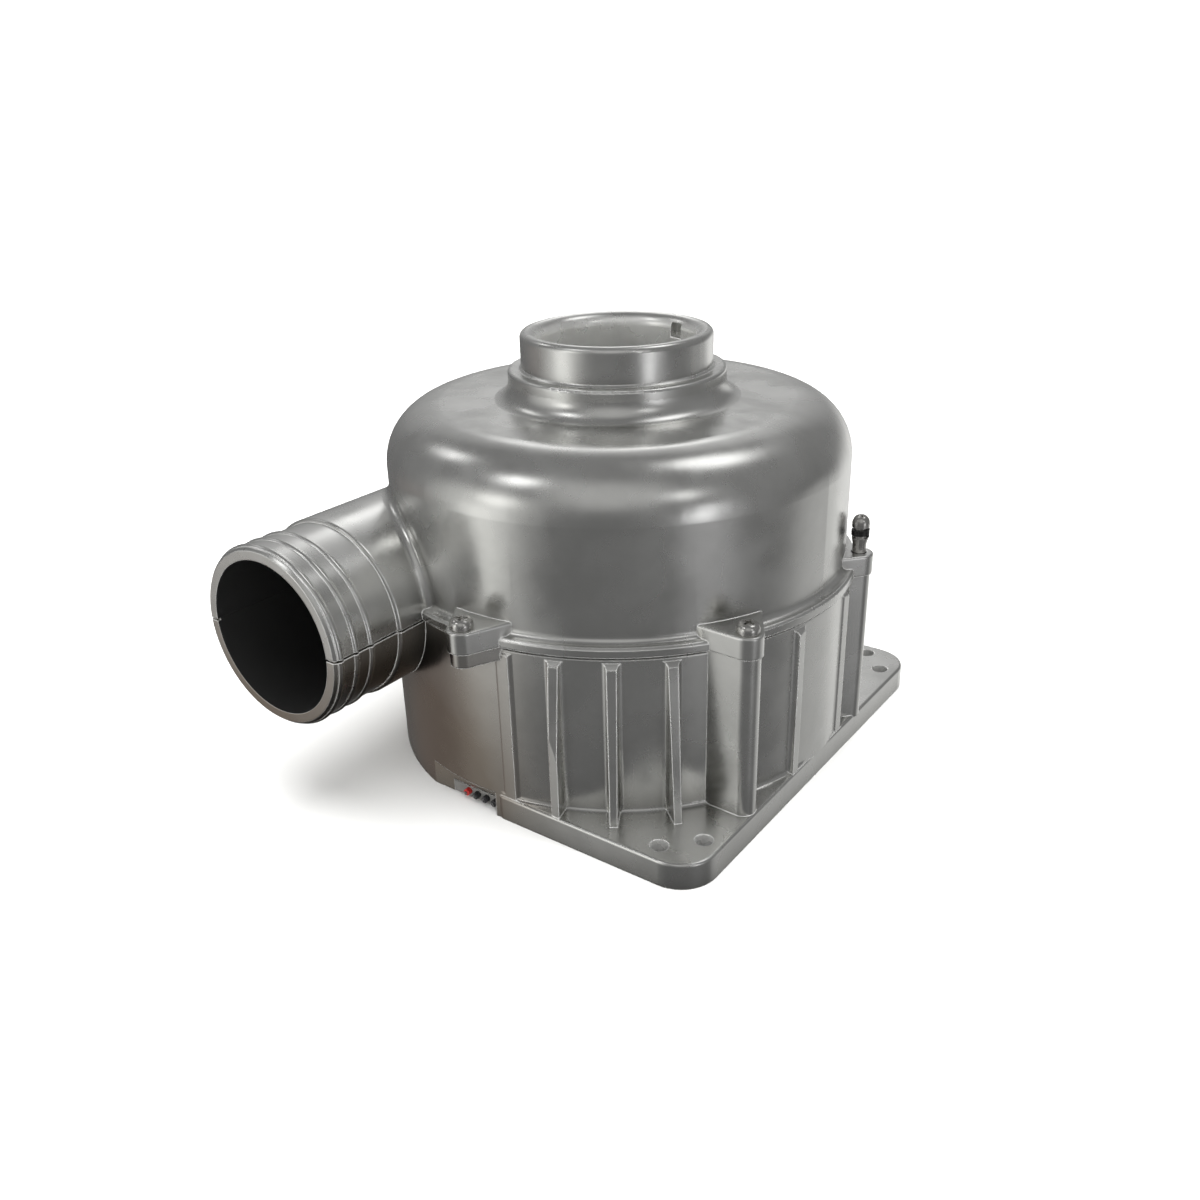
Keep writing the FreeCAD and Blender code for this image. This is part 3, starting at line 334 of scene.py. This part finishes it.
# 1 on the walls of the plate's holes
def holeMask(start, place):
    sideways, lengthways = (start.maths("ABSOLUTE", place.part(index)) for index in (0, 1))
    far = start.maths("MAXIMUM", sideways, lengthways) - plateHoles["far"]
    near = start.maths("MINIMUM", sideways, lengthways) - plateHoles["near"]
    away = (far * far + near * near) ** 0.5
    return away.within(plateHoles["radius"], hairline) * place.part(2).within(plateHoles["top"], plateHoles["edge"])


def castMetal(name, look):
    material, start, place = newMaterial(name)
    soft = start.node("ShaderNodeBevel", {"samples": 8}, {"Radius": look["edge"]})
    trueNormal = start.node("ShaderNodeNewGeometry", output="True Normal")
    edgeWearAndHighlight = (1.0 - soft.dot(trueNormal)).step(*look["edgeTurn"])  # painted highlight, partly rubbed metal, where an edge is rounded over
    noises = {kind: place.noise(*values) for kind, values in look["noises"].items()}
    waves, clouds, skin = noises["waves"], noises["clouds"], noises["skin"]
    height = place.part(2)

    # uneven base shade, and a painted brown reflection and shade low down, beside the outlet
    uneven = look["waveShare"] * waves + (1.0 - look["waveShare"]) * clouds
    shade = uneven.step(*middling).mixed(look["dull"], look["bright"])
    low = height.within(look["brownReflectionTop"], look["brownReflectionTop"]) * height.within(look["brownReflectionEnd"], look["brownReflectionEdge"])
    facing = place.dot(look["brownReflectionSide"]).step(*look["brownReflectionReach"])
    steady, wavy, most = look["brownReflectionCover"]
    # painted reflection and shade, browner low down beside the outlet
    shade = (low * facing * (steady + wavy * waves)).clamped(0.0, most).mixed(shade, look["brownReflection"])

    # painted shade in the corners and creases, none in the inlet
    across, along = place.part(0), place.part(1)
    toInlet = (across * across + along * along) ** 0.5
    high = height.step(inletLine["low"], inletLine["low"] + inletLine["rise"])
    bore = toInlet.within(inletLine["radius"], inletLine["rim"]) * high
    inside = toInlet.within(inletLine["outside"], inletLine["edge"]) * high
    crease = start.node("ShaderNodeAmbientOcclusion", {"samples": 8}, {"Distance": look["crease"]}, "AO")
    upright = 1.0 - start.maths("ABSOLUTE", trueNormal.part(2))
    level, more = look["paintedCreaseShadeCover"]
    creaseShadeMask = (1.0 - crease.step(*look["creaseDepth"])) * (level + more * upright)
    shade = (creaseShadeMask * (1.0 - look["paintedCreaseShadeSpared"] * inside)).mixed(shade, look["paintedCreaseShade"])
    # painted highlight along rounded edges, partly rubbed metal
    shade = (edgeWearAndHighlight * look["edgeWearAndHighlightCover"]).mixed(shade, look["edgeWearAndHighlight"])
    drilled = holeMask(start, place)
    shade = drilled.mixed(shade, look["drilled"])
    # painted shade inside the outlet's bore
    boreShade = outletMask(place)
    shade = boreShade.mixed(shade, look["boreShade"])

    smooth, rough = look["roughness"]
    rough = smooth + (rough - smooth) * waves.step(*middling) + look["cloudRoughness"] * (clouds - 0.5) \
        + look["skinRoughness"] * (skin - 0.5)
    rough = rough.clamped(*look["roughnessLimits"]) * (1.0 - boreShade) + look["darkRoughness"] * boreShade
    less = look["lessMetal"]
    metal = 1.0 - less["edgeWearAndHighlight"] * edgeWearAndHighlight - less["bore"] * bore - less["drilled"] * drilled
    metal = metal.clamped(look["leastMetal"], 1.0) * (1.0 - less["boreShade"] * boreShade)
    normal = soft
    for kind, (strength, distance) in look["bumps"].items():
        normal = bumped(start, noises[kind], strength, distance, normal)
    return finishMaterial(material, start, {"Base Color": shade, "Metallic": metal, "Roughness": rough,
                                            "Normal": normal})


plainLooks = {  # base colour, second colour, metallic, roughness low and high, grain scale, bump
    "screwSteel": ((0.72, 0.71, 0.69), (0.55, 0.54, 0.52), 1.0, (0.16, 0.30), 900.0, 0.00001),
    "impellerAlloy": ((0.70, 0.71, 0.72), (0.62, 0.63, 0.64), 1.0, (0.22, 0.34), 500.0, 0.00001),
    "turnedAlloy": ((0.62, 0.62, 0.63), (0.52, 0.52, 0.53), 1.0, (0.25, 0.38), 600.0, 0.00001),
    "groundSteel": ((0.66, 0.66, 0.67), (0.58, 0.58, 0.59), 1.0, (0.12, 0.22), 800.0, 0.000005),
    "darkSteel": ((0.10, 0.10, 0.10), (0.06, 0.06, 0.06), 1.0, (0.25, 0.4), 900.0, 0.00001),
    "tinPlate": ((0.74, 0.74, 0.75), (0.62, 0.62, 0.63), 1.0, (0.2, 0.35), 900.0, 0.00001),
    "magnetCoat": ((0.19, 0.19, 0.20), (0.13, 0.13, 0.14), 0.7, (0.35, 0.5), 700.0, 0.00001),
    "laminationSteel": ((0.36, 0.36, 0.38), (0.25, 0.25, 0.27), 1.0, (0.35, 0.5), 700.0, 0.00001),
    "copperWire": ((0.72, 0.33, 0.14), (0.55, 0.22, 0.09), 1.0, (0.2, 0.35), 900.0, 0.00001),
    "blackPlastic": ((0.028, 0.028, 0.03), (0.018, 0.018, 0.02), 0.0, (0.45, 0.6), 900.0, 0.00001),
    "insulatorPlastic": ((0.80, 0.78, 0.70), (0.70, 0.68, 0.60), 0.0, (0.4, 0.55), 600.0, 0.00001),
    "boardGreen": ((0.02, 0.14, 0.06), (0.012, 0.10, 0.045), 0.0, (0.25, 0.35), 900.0, 0.00001),
    "darkRubber": ((0.02, 0.02, 0.02), (0.035, 0.035, 0.034), 0.0, (0.6, 0.8), 1200.0, 0.00002),
    "greyRubber": ((0.20, 0.195, 0.185), (0.15, 0.145, 0.14), 0.0, (0.5, 0.7), 1200.0, 0.00002),
    "redWire": ((0.52, 0.03, 0.025), (0.40, 0.02, 0.02), 0.0, (0.3, 0.45), 900.0, 0.00001),
    "darkWire": ((0.02, 0.02, 0.022), (0.03, 0.03, 0.032), 0.0, (0.3, 0.45), 900.0, 0.00001),
}


plainGrain = {"edge": 0.15 * mm, "cloudSize": 8, "detail": 3.0, "roughness": 0.6, "bump": 0.3}


def plainFinish(name, look):
    first, second, metallic, (low, high), scale, depth = look
    detail, roughness = plainGrain["detail"], plainGrain["roughness"]
    material, start, place = newMaterial(name)
    soft = start.node("ShaderNodeBevel", {"samples": 4}, {"Radius": plainGrain["edge"]})
    clouds = place.noise(scale / plainGrain["cloudSize"], detail, roughness)
    grain = place.noise(scale, detail, roughness)
    shade = clouds.step(*middling).mixed(second, first)
    rough = low + (high - low) * grain.step(*middling)
    return finishMaterial(material, start, {"Base Color": shade, "Metallic": metallic, "Roughness": rough,
                                            "Normal": bumped(start, grain, plainGrain["bump"], depth, soft)})


finishes = {name: plainFinish(name, look) for name, look in plainLooks.items()}
finishes["castMetal"] = castMetal("castMetal", castLook)
wearing = {
    "castMetal": ["upper_housing", "lower_housing"],
    "screwSteel": ["short_lug_screws", "long_lug_screws", "raised_lug_screw", "nozzle_screws", "end_cap_screws",
                   "cover_screws", "impeller_nut", "impeller_washer"],
    "impellerAlloy": ["impeller_disc", "impeller_shroud"],
    "turnedAlloy": ["motor_end_cap", "capacitors", "bottom_cover"],
    "groundSteel": ["shaft", "impeller_collar", "spacer_washers", "rotor_core", "bearing_outer_rings",
                    "bearing_balls", "bearing_inner_rings", "wave_spring", "magnet_sleeve"],
    "magnetCoat": ["rotor_magnets"],
    "laminationSteel": ["stator_core"],
    "copperWire": ["stator_coils"],
    "blackPlastic": ["inlet_nozzle", "power_transistors", "controller_chip"],
    "insulatorPlastic": ["stator_insulators"],
    "boardGreen": ["driver_board"],
    "darkRubber": ["housing_gasket"],
    "greyRubber": ["cable_grommet"],
    "redWire": ["red_lead"],
    "darkWire": ["dark_leads"],
}
for finish, names in wearing.items():
    for name in names:
        slots = nodes[name].material_slots
        if not slots:
            nodes[name].data.materials.append(finishes[finish])
        for slot in slots:
            slot.material = finishes[finish]
print("finishes on", sum(len(names) for names in wearing.values()), "nodes")


# ---- mesh helpers
def addPiece(name, bm, finish, body="housing", angle=32.0):
    bmesh.ops.recalc_face_normals(bm, faces=bm.faces)
    mesh = bpy.data.meshes.new(name)
    bm.to_mesh(mesh)
    bm.free()
    mesh.materials.append(finishes[finish])
    mesh.shade_smooth()
    mesh.set_sharp_from_angle(angle=math.radians(angle))
    piece = bpy.data.objects.new(name, mesh)
    scene.collection.objects.link(piece)
    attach(piece, body)
    return piece


# takes the solids of one bmesh out of another
def carved(bm, cutters):
    items = []
    for name, shape in (("heads", bm), ("recess", cutters)):
        bmesh.ops.recalc_face_normals(shape, faces=shape.faces)
        mesh = bpy.data.meshes.new(name)
        shape.to_mesh(mesh)
        shape.free()
        items.append(bpy.data.objects.new(name, mesh))
        scene.collection.objects.link(items[-1])
    whole, away = items
    carve = whole.modifiers.new("recess", "BOOLEAN")
    carve.operation = "DIFFERENCE"
    carve.solver = "EXACT"
    carve.object = away
    graph = bpy.context.evaluated_depsgraph_get()
    result = bmesh.new()
    result.from_mesh(bpy.data.meshes.new_from_object(whole.evaluated_get(graph)))
    for item in items:
        bpy.data.objects.remove(item)
    return result


def spun(bm, profile, centre, steps=48):
    spot = Vector(centre)
    verts = [bm.verts.new(spot + Vector((r, 0, z))) for r, z in profile]
    edges = [bm.edges.new(pair) for pair in zip(verts, verts[1:])]
    bmesh.ops.spin(bm, geom=verts + edges, cent=spot, axis=(0, 0, 1), angle=math.tau, steps=steps,
                   use_merge=True)
    bmesh.ops.remove_doubles(bm, verts=bm.verts, dist=1e-7)


# a band of faces between two rings of points
def joinRings(bm, one, other):
    for a in range(len(one)):
        b = (a + 1) % len(one)
        bm.faces.new((one[a], one[b], other[b], other[a]))


# a section of (radius, height) points carried up a helix, closed at both ends
def helix(bm, centre, low, pitch, turns, section, steps=32):
    spot = Vector(centre)
    loops = []
    for index in range(round(turns * steps) + 1):
        turn = math.tau * index / steps
        out = Vector((math.cos(turn), math.sin(turn), 0))
        rise = low + pitch * index / steps
        loops.append([bm.verts.new(spot + out * r + Vector((0, 0, rise + z))) for r, z in section])
    for one, other in zip(loops, loops[1:]):
        joinRings(bm, one, other)
    bm.faces.new(loops[0])
    bm.faces.new(loops[-1])


# a cross that narrows as it goes down, as a screwdriver's tip does
def crossCutter(bm, centre, top, cross, turn):
    spot = Vector(centre)
    reach, half, depth, taper, overhang = cross
    corners = []
    for quarter in range(4):
        angle = math.radians(turn + 90 * quarter)
        ahead = Vector((math.cos(angle), math.sin(angle), 0))
        side = Vector((-ahead.y, ahead.x, 0))
        corners += [ahead * reach - side * half, ahead * reach + side * half, ahead * half + side * half]
    rings = []
    for share, height in ((1.0, top + overhang), (1.0, top), (taper, top - depth)):
        rings.append([bm.verts.new(spot + c * share + Vector((0, 0, height))) for c in corners])
    for one, other in zip(rings, rings[1:]):
        joinRings(bm, one, other)
    bm.faces.new(rings[0])
    bm.faces.new(rings[-1])


def ringSpot(radius, degrees, height=0.0):
    angle = math.radians(degrees)
    return Vector((radius * math.cos(angle), radius * math.sin(angle), height))


# ---- lug screws: pan heads with a tapered cross recess, threads on the shanks
screwShape = {
    "shank": 1.25 * mm,
    "core": 1.0 * mm,
    "pitch": 0.6 * mm,
    "threadSink": 0.02 * mm,
    "threadHalf": 0.45,  # of the pitch
    "threadSteps": 24,
    "point": 0.5 * mm,
    "pointHeight": 0.4 * mm,
    "threadStart": 0.3 * mm,
    "headSteps": 8,
    "rim": 0.08 * mm,
    "underRim": 0.1 * mm,
}
lugScrews = {
    **screwShape,
    "short_lug_screws": {"spots": [(49.25, -87.3), (49.25, 177.3)]},
    "long_lug_screws": {"spots": [(49.55, -30.3), (49.55, 120.3), (46.5, 69.2)]},
    "head": 2.0 * mm,
    "headHeight": 1.8 * mm,
    "headRound": (0.45, 0.35),
    "threadEnd": 1.2 * mm,
    "cross": (1.15 * mm, 0.24 * mm, 0.95 * mm, 0.62, 0.2 * mm),  # reach, half width, depth, taper, overhang
    "recessTurns": (25, 70, -10, 40, 5),
}


def headProfile(look, low):
    radius, height = look["head"], look["headHeight"]
    flat, skirt = look["headRound"]
    points = [(0.0, low + height)]
    for index in range(look["headSteps"] + 1):
        turn = math.radians(90 * index / look["headSteps"])
        points.append((radius * flat + radius * (1 - flat) * math.sin(turn),
                       low + height * skirt + height * (1 - skirt) * math.cos(turn)))
    return points + [(radius, low + look["rim"]), (radius - look["underRim"], low)]


def shankProfile(look, high, low):
    return [(look["core"], high), (look["core"], low + look["pointHeight"]), (look["point"], low), (0.0, low)]


def threadOn(bm, spot, low, high, look):
    pitch = look["pitch"]
    root, half = look["core"] - look["threadSink"], look["threadHalf"] * pitch
    turns = (high - low - pitch) / pitch
    helix(bm, spot, low + pitch / 2, pitch, turns, [(root, -half), (look["shank"], 0.0), (root, half)],
          look["threadSteps"])


def makeLugScrews(look):
    turns = iter(look["recessTurns"])
    for node in ("short_lug_screws", "long_lug_screws"):
        low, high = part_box(node)
        seat = high.z - look["headHeight"]
        heads, cutters = bmesh.new(), bmesh.new()
        spots = [ringSpot(radius * mm, angle) for radius, angle in look[node]["spots"]]
        for spot in spots:
            spun(heads, headProfile(look, seat) + shankProfile(look, seat, low.z), spot)
            crossCutter(cutters, spot, high.z, look["cross"], next(turns))
        whole = carved(heads, cutters)
        for spot in spots:
            threadOn(whole, spot, low.z + look["threadStart"], seat - look["threadEnd"], look)
        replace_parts(addPiece(node + "_fine", whole, "screwSteel"), node)


makeLugScrews(lugScrews)

# the fifth one stands proud: domed head, spring washer round its band, tapered neck
raisedScrew = {
    **screwShape,
    "spot": (46.5, 20.8),
    "seat": 39.4 * mm,
    "head": 1.65 * mm,
    "headHeight": 2.3 * mm,
    "headRound": (0.25, 0.3),
    "cross": (1.0 * mm, 0.2 * mm, 0.9 * mm, 0.62, 0.2 * mm),
    "recessTurn": 35,
    "band": 2.0 * mm,
    "washer": (1.3 * mm, 1.68 * mm),
    "washerThickness": 0.72 * mm,
    "washerFlat": 0.7,  # of the thickness, per turn
    "washerPitch": 0.5332 * mm,
    "washerTurns": 2.1,
    "washerSteps": 40,
    "cone": (1.3 * mm, 1.55 * mm, 1.3 * mm),  # neck, wide end, height
    "coneRim": 0.25 * mm,
    "plain": 1.0 * mm,
    "runOut": 1.2 * mm,
    "threadEnd": 1.3 * mm,
}


def makeRaisedScrew(look):
    low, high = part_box("raised_lug_screw")
    spot = ringSpot(look["spot"][0] * mm, look["spot"][1])
    headLow = high.z - look["headHeight"]
    bandLow = headLow - look["band"]
    neck, wide, coneHeight = look["cone"]
    heads, cutters = bmesh.new(), bmesh.new()
    neckProfile = [(look["shank"], headLow), (look["shank"], bandLow), (wide, bandLow),
                   (wide, bandLow - look["coneRim"]), (neck, bandLow - coneHeight),
                   (look["shank"], look["seat"] - look["plain"])]
    spun(heads, headProfile(look, headLow) + neckProfile + shankProfile(look, look["seat"] - look["runOut"], low.z),
         spot)
    crossCutter(cutters, spot, high.z, look["cross"], look["recessTurn"])
    whole = carved(heads, cutters)
    threadOn(whole, spot, low.z + look["threadStart"], look["seat"] - look["threadEnd"], look)
    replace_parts(addPiece("raised_lug_screw_fine", whole, "screwSteel"), "raised_lug_screw")
    inner, outer = look["washer"]
    half = look["washerThickness"] / 2
    flat = half * look["washerFlat"]
    bm = bmesh.new()
    helix(bm, spot, bandLow + half, look["washerPitch"], look["washerTurns"],
          [(inner, -flat), (outer, -flat), (outer, flat), (inner, flat)], look["washerSteps"])
    addPiece("raised_screw_spring_washer", bm, "darkSteel")


makeRaisedScrew(raisedScrew)
print("screws made")

# ---- leads: cut-off ends with bare strands
leadEnds = {
    "first": -4.7 * mm,
    "pitch": 2.2 * mm,
    "count": 4,
    "height": 1.35 * mm,
    "strand": 0.13 * mm,
    "strandSides": 8,
    "strandTip": 0.8,  # its radius, in strand radii
    "strandCircle": 2.1,  # in strand radii
    "reach": 0.5 * mm,
    "uneven": 0.3,  # of the reach
    "inside": 0.6 * mm,
}


def makeLeadEnds(look):
    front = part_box("dark_leads")[0].y
    inside = look["inside"]
    bm = bmesh.new()
    for index in range(look["count"]):
        centre = Vector((look["first"] + look["pitch"] * index, front, look["height"]))
        spots = [Vector()] + [ringSpot(look["strandCircle"] * look["strand"], 60 * a) for a in range(6)]
        for number, spot in enumerate(spots):
            reach = look["reach"] * (1.0 - look["uneven"] + look["uneven"] * math.sin(3.1 * number + index))
            verts = bmesh.ops.create_cone(bm, segments=look["strandSides"], radius1=look["strand"],
                                          radius2=look["strand"] * look["strandTip"], depth=reach + inside,
                                          cap_ends=True)["verts"]
            turn = Matrix.Rotation(math.radians(90), 4, "X")
            shift = Matrix.Translation(centre + Vector((spot.x, (inside - reach) / 2, spot.y)))
            bmesh.ops.transform(bm, matrix=shift @ turn, verts=verts)
    addPiece("lead_strands", bm, "tinPlate")


makeLeadEnds(leadEnds)
print("lead ends made")

# ---- soft flare where the collar meets the dome
collarCove = {
    "radius": 20.4 * mm,
    "height": 67.7 * mm,
    "width": 3.1 * mm,
    "rise": 3.9 * mm,
    "sink": 0.02 * mm,
    "hidden": (0.07 * mm, 0.7 * mm),  # both ends run on inside the casting
    "arcSteps": 16,
    "steps": 120,
}


def makeCollarCove(look):
    bm = bmesh.new()
    near, floor = look["radius"] - look["sink"], look["height"] - look["sink"]
    far, top = near + look["width"], floor + look["rise"]
    turns = [math.radians(90 * index / look["arcSteps"]) for index in range(look["arcSteps"] + 1)]
    profile = [(far - look["width"] * math.cos(turn), top - look["rise"] * math.sin(turn)) for turn in turns]
    deep, beyond = look["hidden"]
    profile += [(far + beyond, floor - deep), (far + beyond, floor - beyond), (near - beyond, floor - beyond),
                (near - beyond, top + beyond), (near - deep, top + beyond)]
    spun(bm, profile + profile[:1], (0, 0, 0), look["steps"])
    addPiece("collar_foot_cove", bm, "castMetal")


makeCollarCove(collarCove)
print("collar cove made")

# ---- motor windings, laid turn by turn round each tooth
windings = {
    "teeth": 9,
    "inner": 15.9 * mm,
    "outer": 22.0 * mm,
    "half": 2.1 * mm,
    "thickness": 1.7 * mm,
    "wire": 0.31 * mm,
    "wireSides": 8,
    "lining": 0.05 * mm,
}


# points round the tooth at one distance from it, as (across, up)
def roundTooth(half, low, high, away, arcSteps=5):
    points = []
    for corner, (y, z) in enumerate(((half, high), (-half, high), (-half, low), (half, low))):
        for index in range(arcSteps + 1):
            turn = math.radians(90 * corner + 90 * index / arcSteps)
            points.append((y + away * math.cos(turn), z + away * math.sin(turn)))
    return points


def makeWindings(look):
    boxLow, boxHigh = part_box("stator_coils")
    low, high = boxLow.z + look["thickness"], boxHigh.z - look["thickness"]
    wire, half = look["wire"], look["half"]
    away = look["thickness"] - wire
    inners, outers = (roundTooth(half, low, high, away + side * wire) for side in (-1, 1))
    bm = bmesh.new()
    turns = int((look["outer"] - look["inner"]) / (2 * wire))
    pitch = (look["outer"] - look["inner"]) / turns
    for tooth in range(look["teeth"]):
        angle = math.tau * tooth / look["teeth"]
        out = Vector((math.cos(angle), math.sin(angle), 0))
        side = Vector((-out.y, out.x, 0))
        for turn in range(turns):
            middle = look["inner"] + (turn + 0.5) * pitch
            loops = []
            for (innerY, innerZ), (outerY, outerZ) in zip(inners, outers):
                loop = []
                for step in range(look["wireSides"]):
                    around = math.tau * step / look["wireSides"]
                    share = (1 + math.cos(around)) / 2
                    y = innerY + (outerY - innerY) * share
                    z = innerZ + (outerZ - innerZ) * share
                    spot = out * (middle + wire * math.sin(around)) + side * y + Vector((0, 0, z))
                    loop.append(bm.verts.new(spot))
                loops.append(loop)
            for one, other in zip(loops, loops[1:] + loops[:1]):
                joinRings(bm, one, other)
        # a solid core under the turns
        rings = []
        for x in (look["inner"] + wire, look["outer"] - wire):
            for reach in (look["lining"], away):
                rings.append([bm.verts.new(out * x + side * y + Vector((0, 0, z)))
                              for y, z in roundTooth(half, low, high, reach)])
        innerLow, outerLow, innerHigh, outerHigh = rings
        for one, other in ((innerLow, outerLow), (outerLow, outerHigh), (outerHigh, innerHigh),
                           (innerHigh, innerLow)):
            joinRings(bm, one, other)
    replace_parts(addPiece("stator_windings", bm, "copperWire", angle=60), "stator_coils")


makeWindings(windings)
print("windings made")

# ---- driver board: small parts, pads and solder
board = {
    "resistor": (1.6 * mm, 0.8 * mm, 0.5 * mm),
    "resistorBody": 0.66,  # of its length
    "resistorEnd": (0.2, 1.04, 1.04),  # of its length, width and height
    "resistorEndAt": 0.42,  # of its length from the middle
    "resistorRings": ((9.0 * mm, 14), (18.5 * mm, 22), (30.2 * mm, 9)),
    "ringTurn": 9,
    "outerRing": 25.0 * mm,
    "outerSpan": (40, 130),  # degrees that the outer ring keeps, clear of the large parts
    "sensor": (3.0 * mm, 3.0 * mm, 1.1 * mm),
    "sensorRing": 14.0 * mm,
    "sensorTurn": 30,
    "sensorPin": (0.9 * mm, 0.4 * mm, 0.16 * mm),
    "sensorFoot": (0.3 * mm, 0.08 * mm),  # out from the side, up from the board
    "sensorPitch": 1.0 * mm,
    "chipPin": (0.9 * mm, 0.3 * mm, 0.16 * mm),
    "chipFoot": (0.35 * mm, 0.09 * mm),
    "chipPitch": 0.7 * mm,
    "chipPins": 9,
    "leadRise": -31.9 * mm,
    # radius, height above the board
    "solder": ((0.0, 0.7 * mm), (0.45 * mm, 0.6 * mm), (0.62 * mm, 0.35 * mm), (0.78 * mm, 0.12 * mm),
               (1.0 * mm, 0.01 * mm)),
}


def blockAt(bm, size, spot, degrees, edge=0.08):
    made = bmesh.ops.create_cube(bm, size=1.0)["verts"]
    scale = Matrix.Diagonal((*size, 1))
    turn = Matrix.Rotation(math.radians(degrees), 4, "Z")
    bmesh.ops.transform(bm, matrix=Matrix.Translation(spot) @ turn @ scale, verts=made)
    edges = {e for v in made for e in v.link_edges}
    bmesh.ops.bevel(bm, geom=list(edges), offset=edge * min(size), segments=2, affect="EDGES", profile=0.5,
                    material=-1)


def makeBoardParts(look):
    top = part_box("driver_board")[1].z
    length, width, height = look["resistor"]
    bodies, ends, solder = bmesh.new(), bmesh.new(), bmesh.new()
    first, last = look["outerSpan"]
    for radius, count in look["resistorRings"]:
        for index in range(count):
            angle = 360 * index / count + look["ringTurn"]
            if radius > look["outerRing"] and not first < angle < last:
                continue
            spot = ringSpot(radius, angle, top + height / 2)
            blockAt(bodies, (length * look["resistorBody"], width, height), spot, angle + 90)
            away = ringSpot(length * look["resistorEndAt"], angle + 90)
            for way in (-1, 1):
                blockAt(ends, [part * share for part, share in zip(look["resistor"], look["resistorEnd"])],
                        spot + away * way, angle + 90)
    length, height = look["sensor"][0], look["sensor"][2]
    footOut, footUp = look["sensorFoot"]
    for index in range(3):
        angle = look["sensorTurn"] + 120 * index
        spot = ringSpot(look["sensorRing"], angle, top + height / 2)
        blockAt(bodies, look["sensor"], spot, angle)
        out, side = ringSpot(1.0, angle), ringSpot(1.0, angle + 90)
        foot = spot - Vector((0, 0, height / 2 - footUp)) + out * (length / 2 + footOut)
        for pin in (-1, 0, 1):
            blockAt(ends, look["sensorPin"], foot + side * (pin * look["sensorPitch"]), angle)
    low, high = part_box("controller_chip")
    middle = (low + high) / 2
    footOut, footUp = look["chipFoot"]
    for quarter in range(4):
        out, side = ringSpot(1.0, 90 * quarter), ringSpot(1.0, 90 * quarter + 90)
        foot = Vector((middle.x, middle.y, top + footUp)) + out * (high.x - middle.x + footOut)
        for pin in range(look["chipPins"]):
            along = (pin - look["chipPins"] // 2) * look["chipPitch"]
            blockAt(ends, look["chipPin"], foot + side * along, 90 * quarter)
    for index in range(leadEnds["count"]):
        spot = Vector((leadEnds["first"] + leadEnds["pitch"] * index, look["leadRise"], 0))
        spun(solder, [(radius, top + rise) for radius, rise in look["solder"]], spot, 20)
    addPiece("board_small_parts", bodies, "blackPlastic")
    addPiece("board_part_ends", ends, "tinPlate")
    addPiece("board_solder", solder, "tinPlate")


makeBoardParts(board)
print("board parts made")

# ---- ball cages: two wavy steel ribbons that bow over the balls
cage = {
    "balls": 6,
    "circle": 4.45 * mm,
    "ball": 0.95 * mm,
    "half": 0.42 * mm,
    "thickness": 0.1 * mm,
    "clear": 0.03 * mm,
    "leastLift": 0.06 * mm,
    "steps": 144,
}


def makeCages(look):
    low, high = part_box("bearing_balls")
    bm = bmesh.new()
    share = 360 / look["balls"]
    reach = look["ball"] + look["clear"]
    half, thickness = look["half"], look["thickness"]
    section = ((-half, 0), (half, 0), (half, thickness), (-half, thickness))
    for middle in (low.z + look["ball"], high.z - look["ball"]):
        for way in (-1, 1):
            loops = []
            for index in range(look["steps"]):
                angle = 360 * index / look["steps"]
                near = look["circle"] * math.radians((angle + share / 2) % share - share / 2)
                lift = math.sqrt(max(reach * reach - near * near, look["leastLift"] ** 2))
                loops.append([bm.verts.new(ringSpot(look["circle"] + r, angle, middle + way * (lift + z)))
                              for r, z in section])
            for one, other in zip(loops, loops[1:] + loops[:1]):
                joinRings(bm, one, other)
    addPiece("bearing_cages", bm, "turnedAlloy")


makeCages(cage)

# ---- thread above the impeller's nut
stud = {
    "root": 1.95 * mm,
    "crest": 2.14 * mm,
    "half": 0.17 * mm,
    "pitch": 0.4 * mm,
    "first": 0.2 * mm,
    "bare": 0.55 * mm,
}


def makeStudThread(look):
    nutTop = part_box("impeller_nut")[1].z
    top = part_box("shaft")[1].z
    bm = bmesh.new()
    turns = (top - nutTop - look["bare"]) / look["pitch"]
    helix(bm, (0, 0, 0), nutTop + look["first"], look["pitch"], turns,
          [(look["root"], -look["half"]), (look["crest"], 0.0), (look["root"], look["half"])], 48)
    addPiece("shaft_stud_thread", bm, "groundSteel", "rotor")


makeStudThread(stud)
print("cages and stud made")
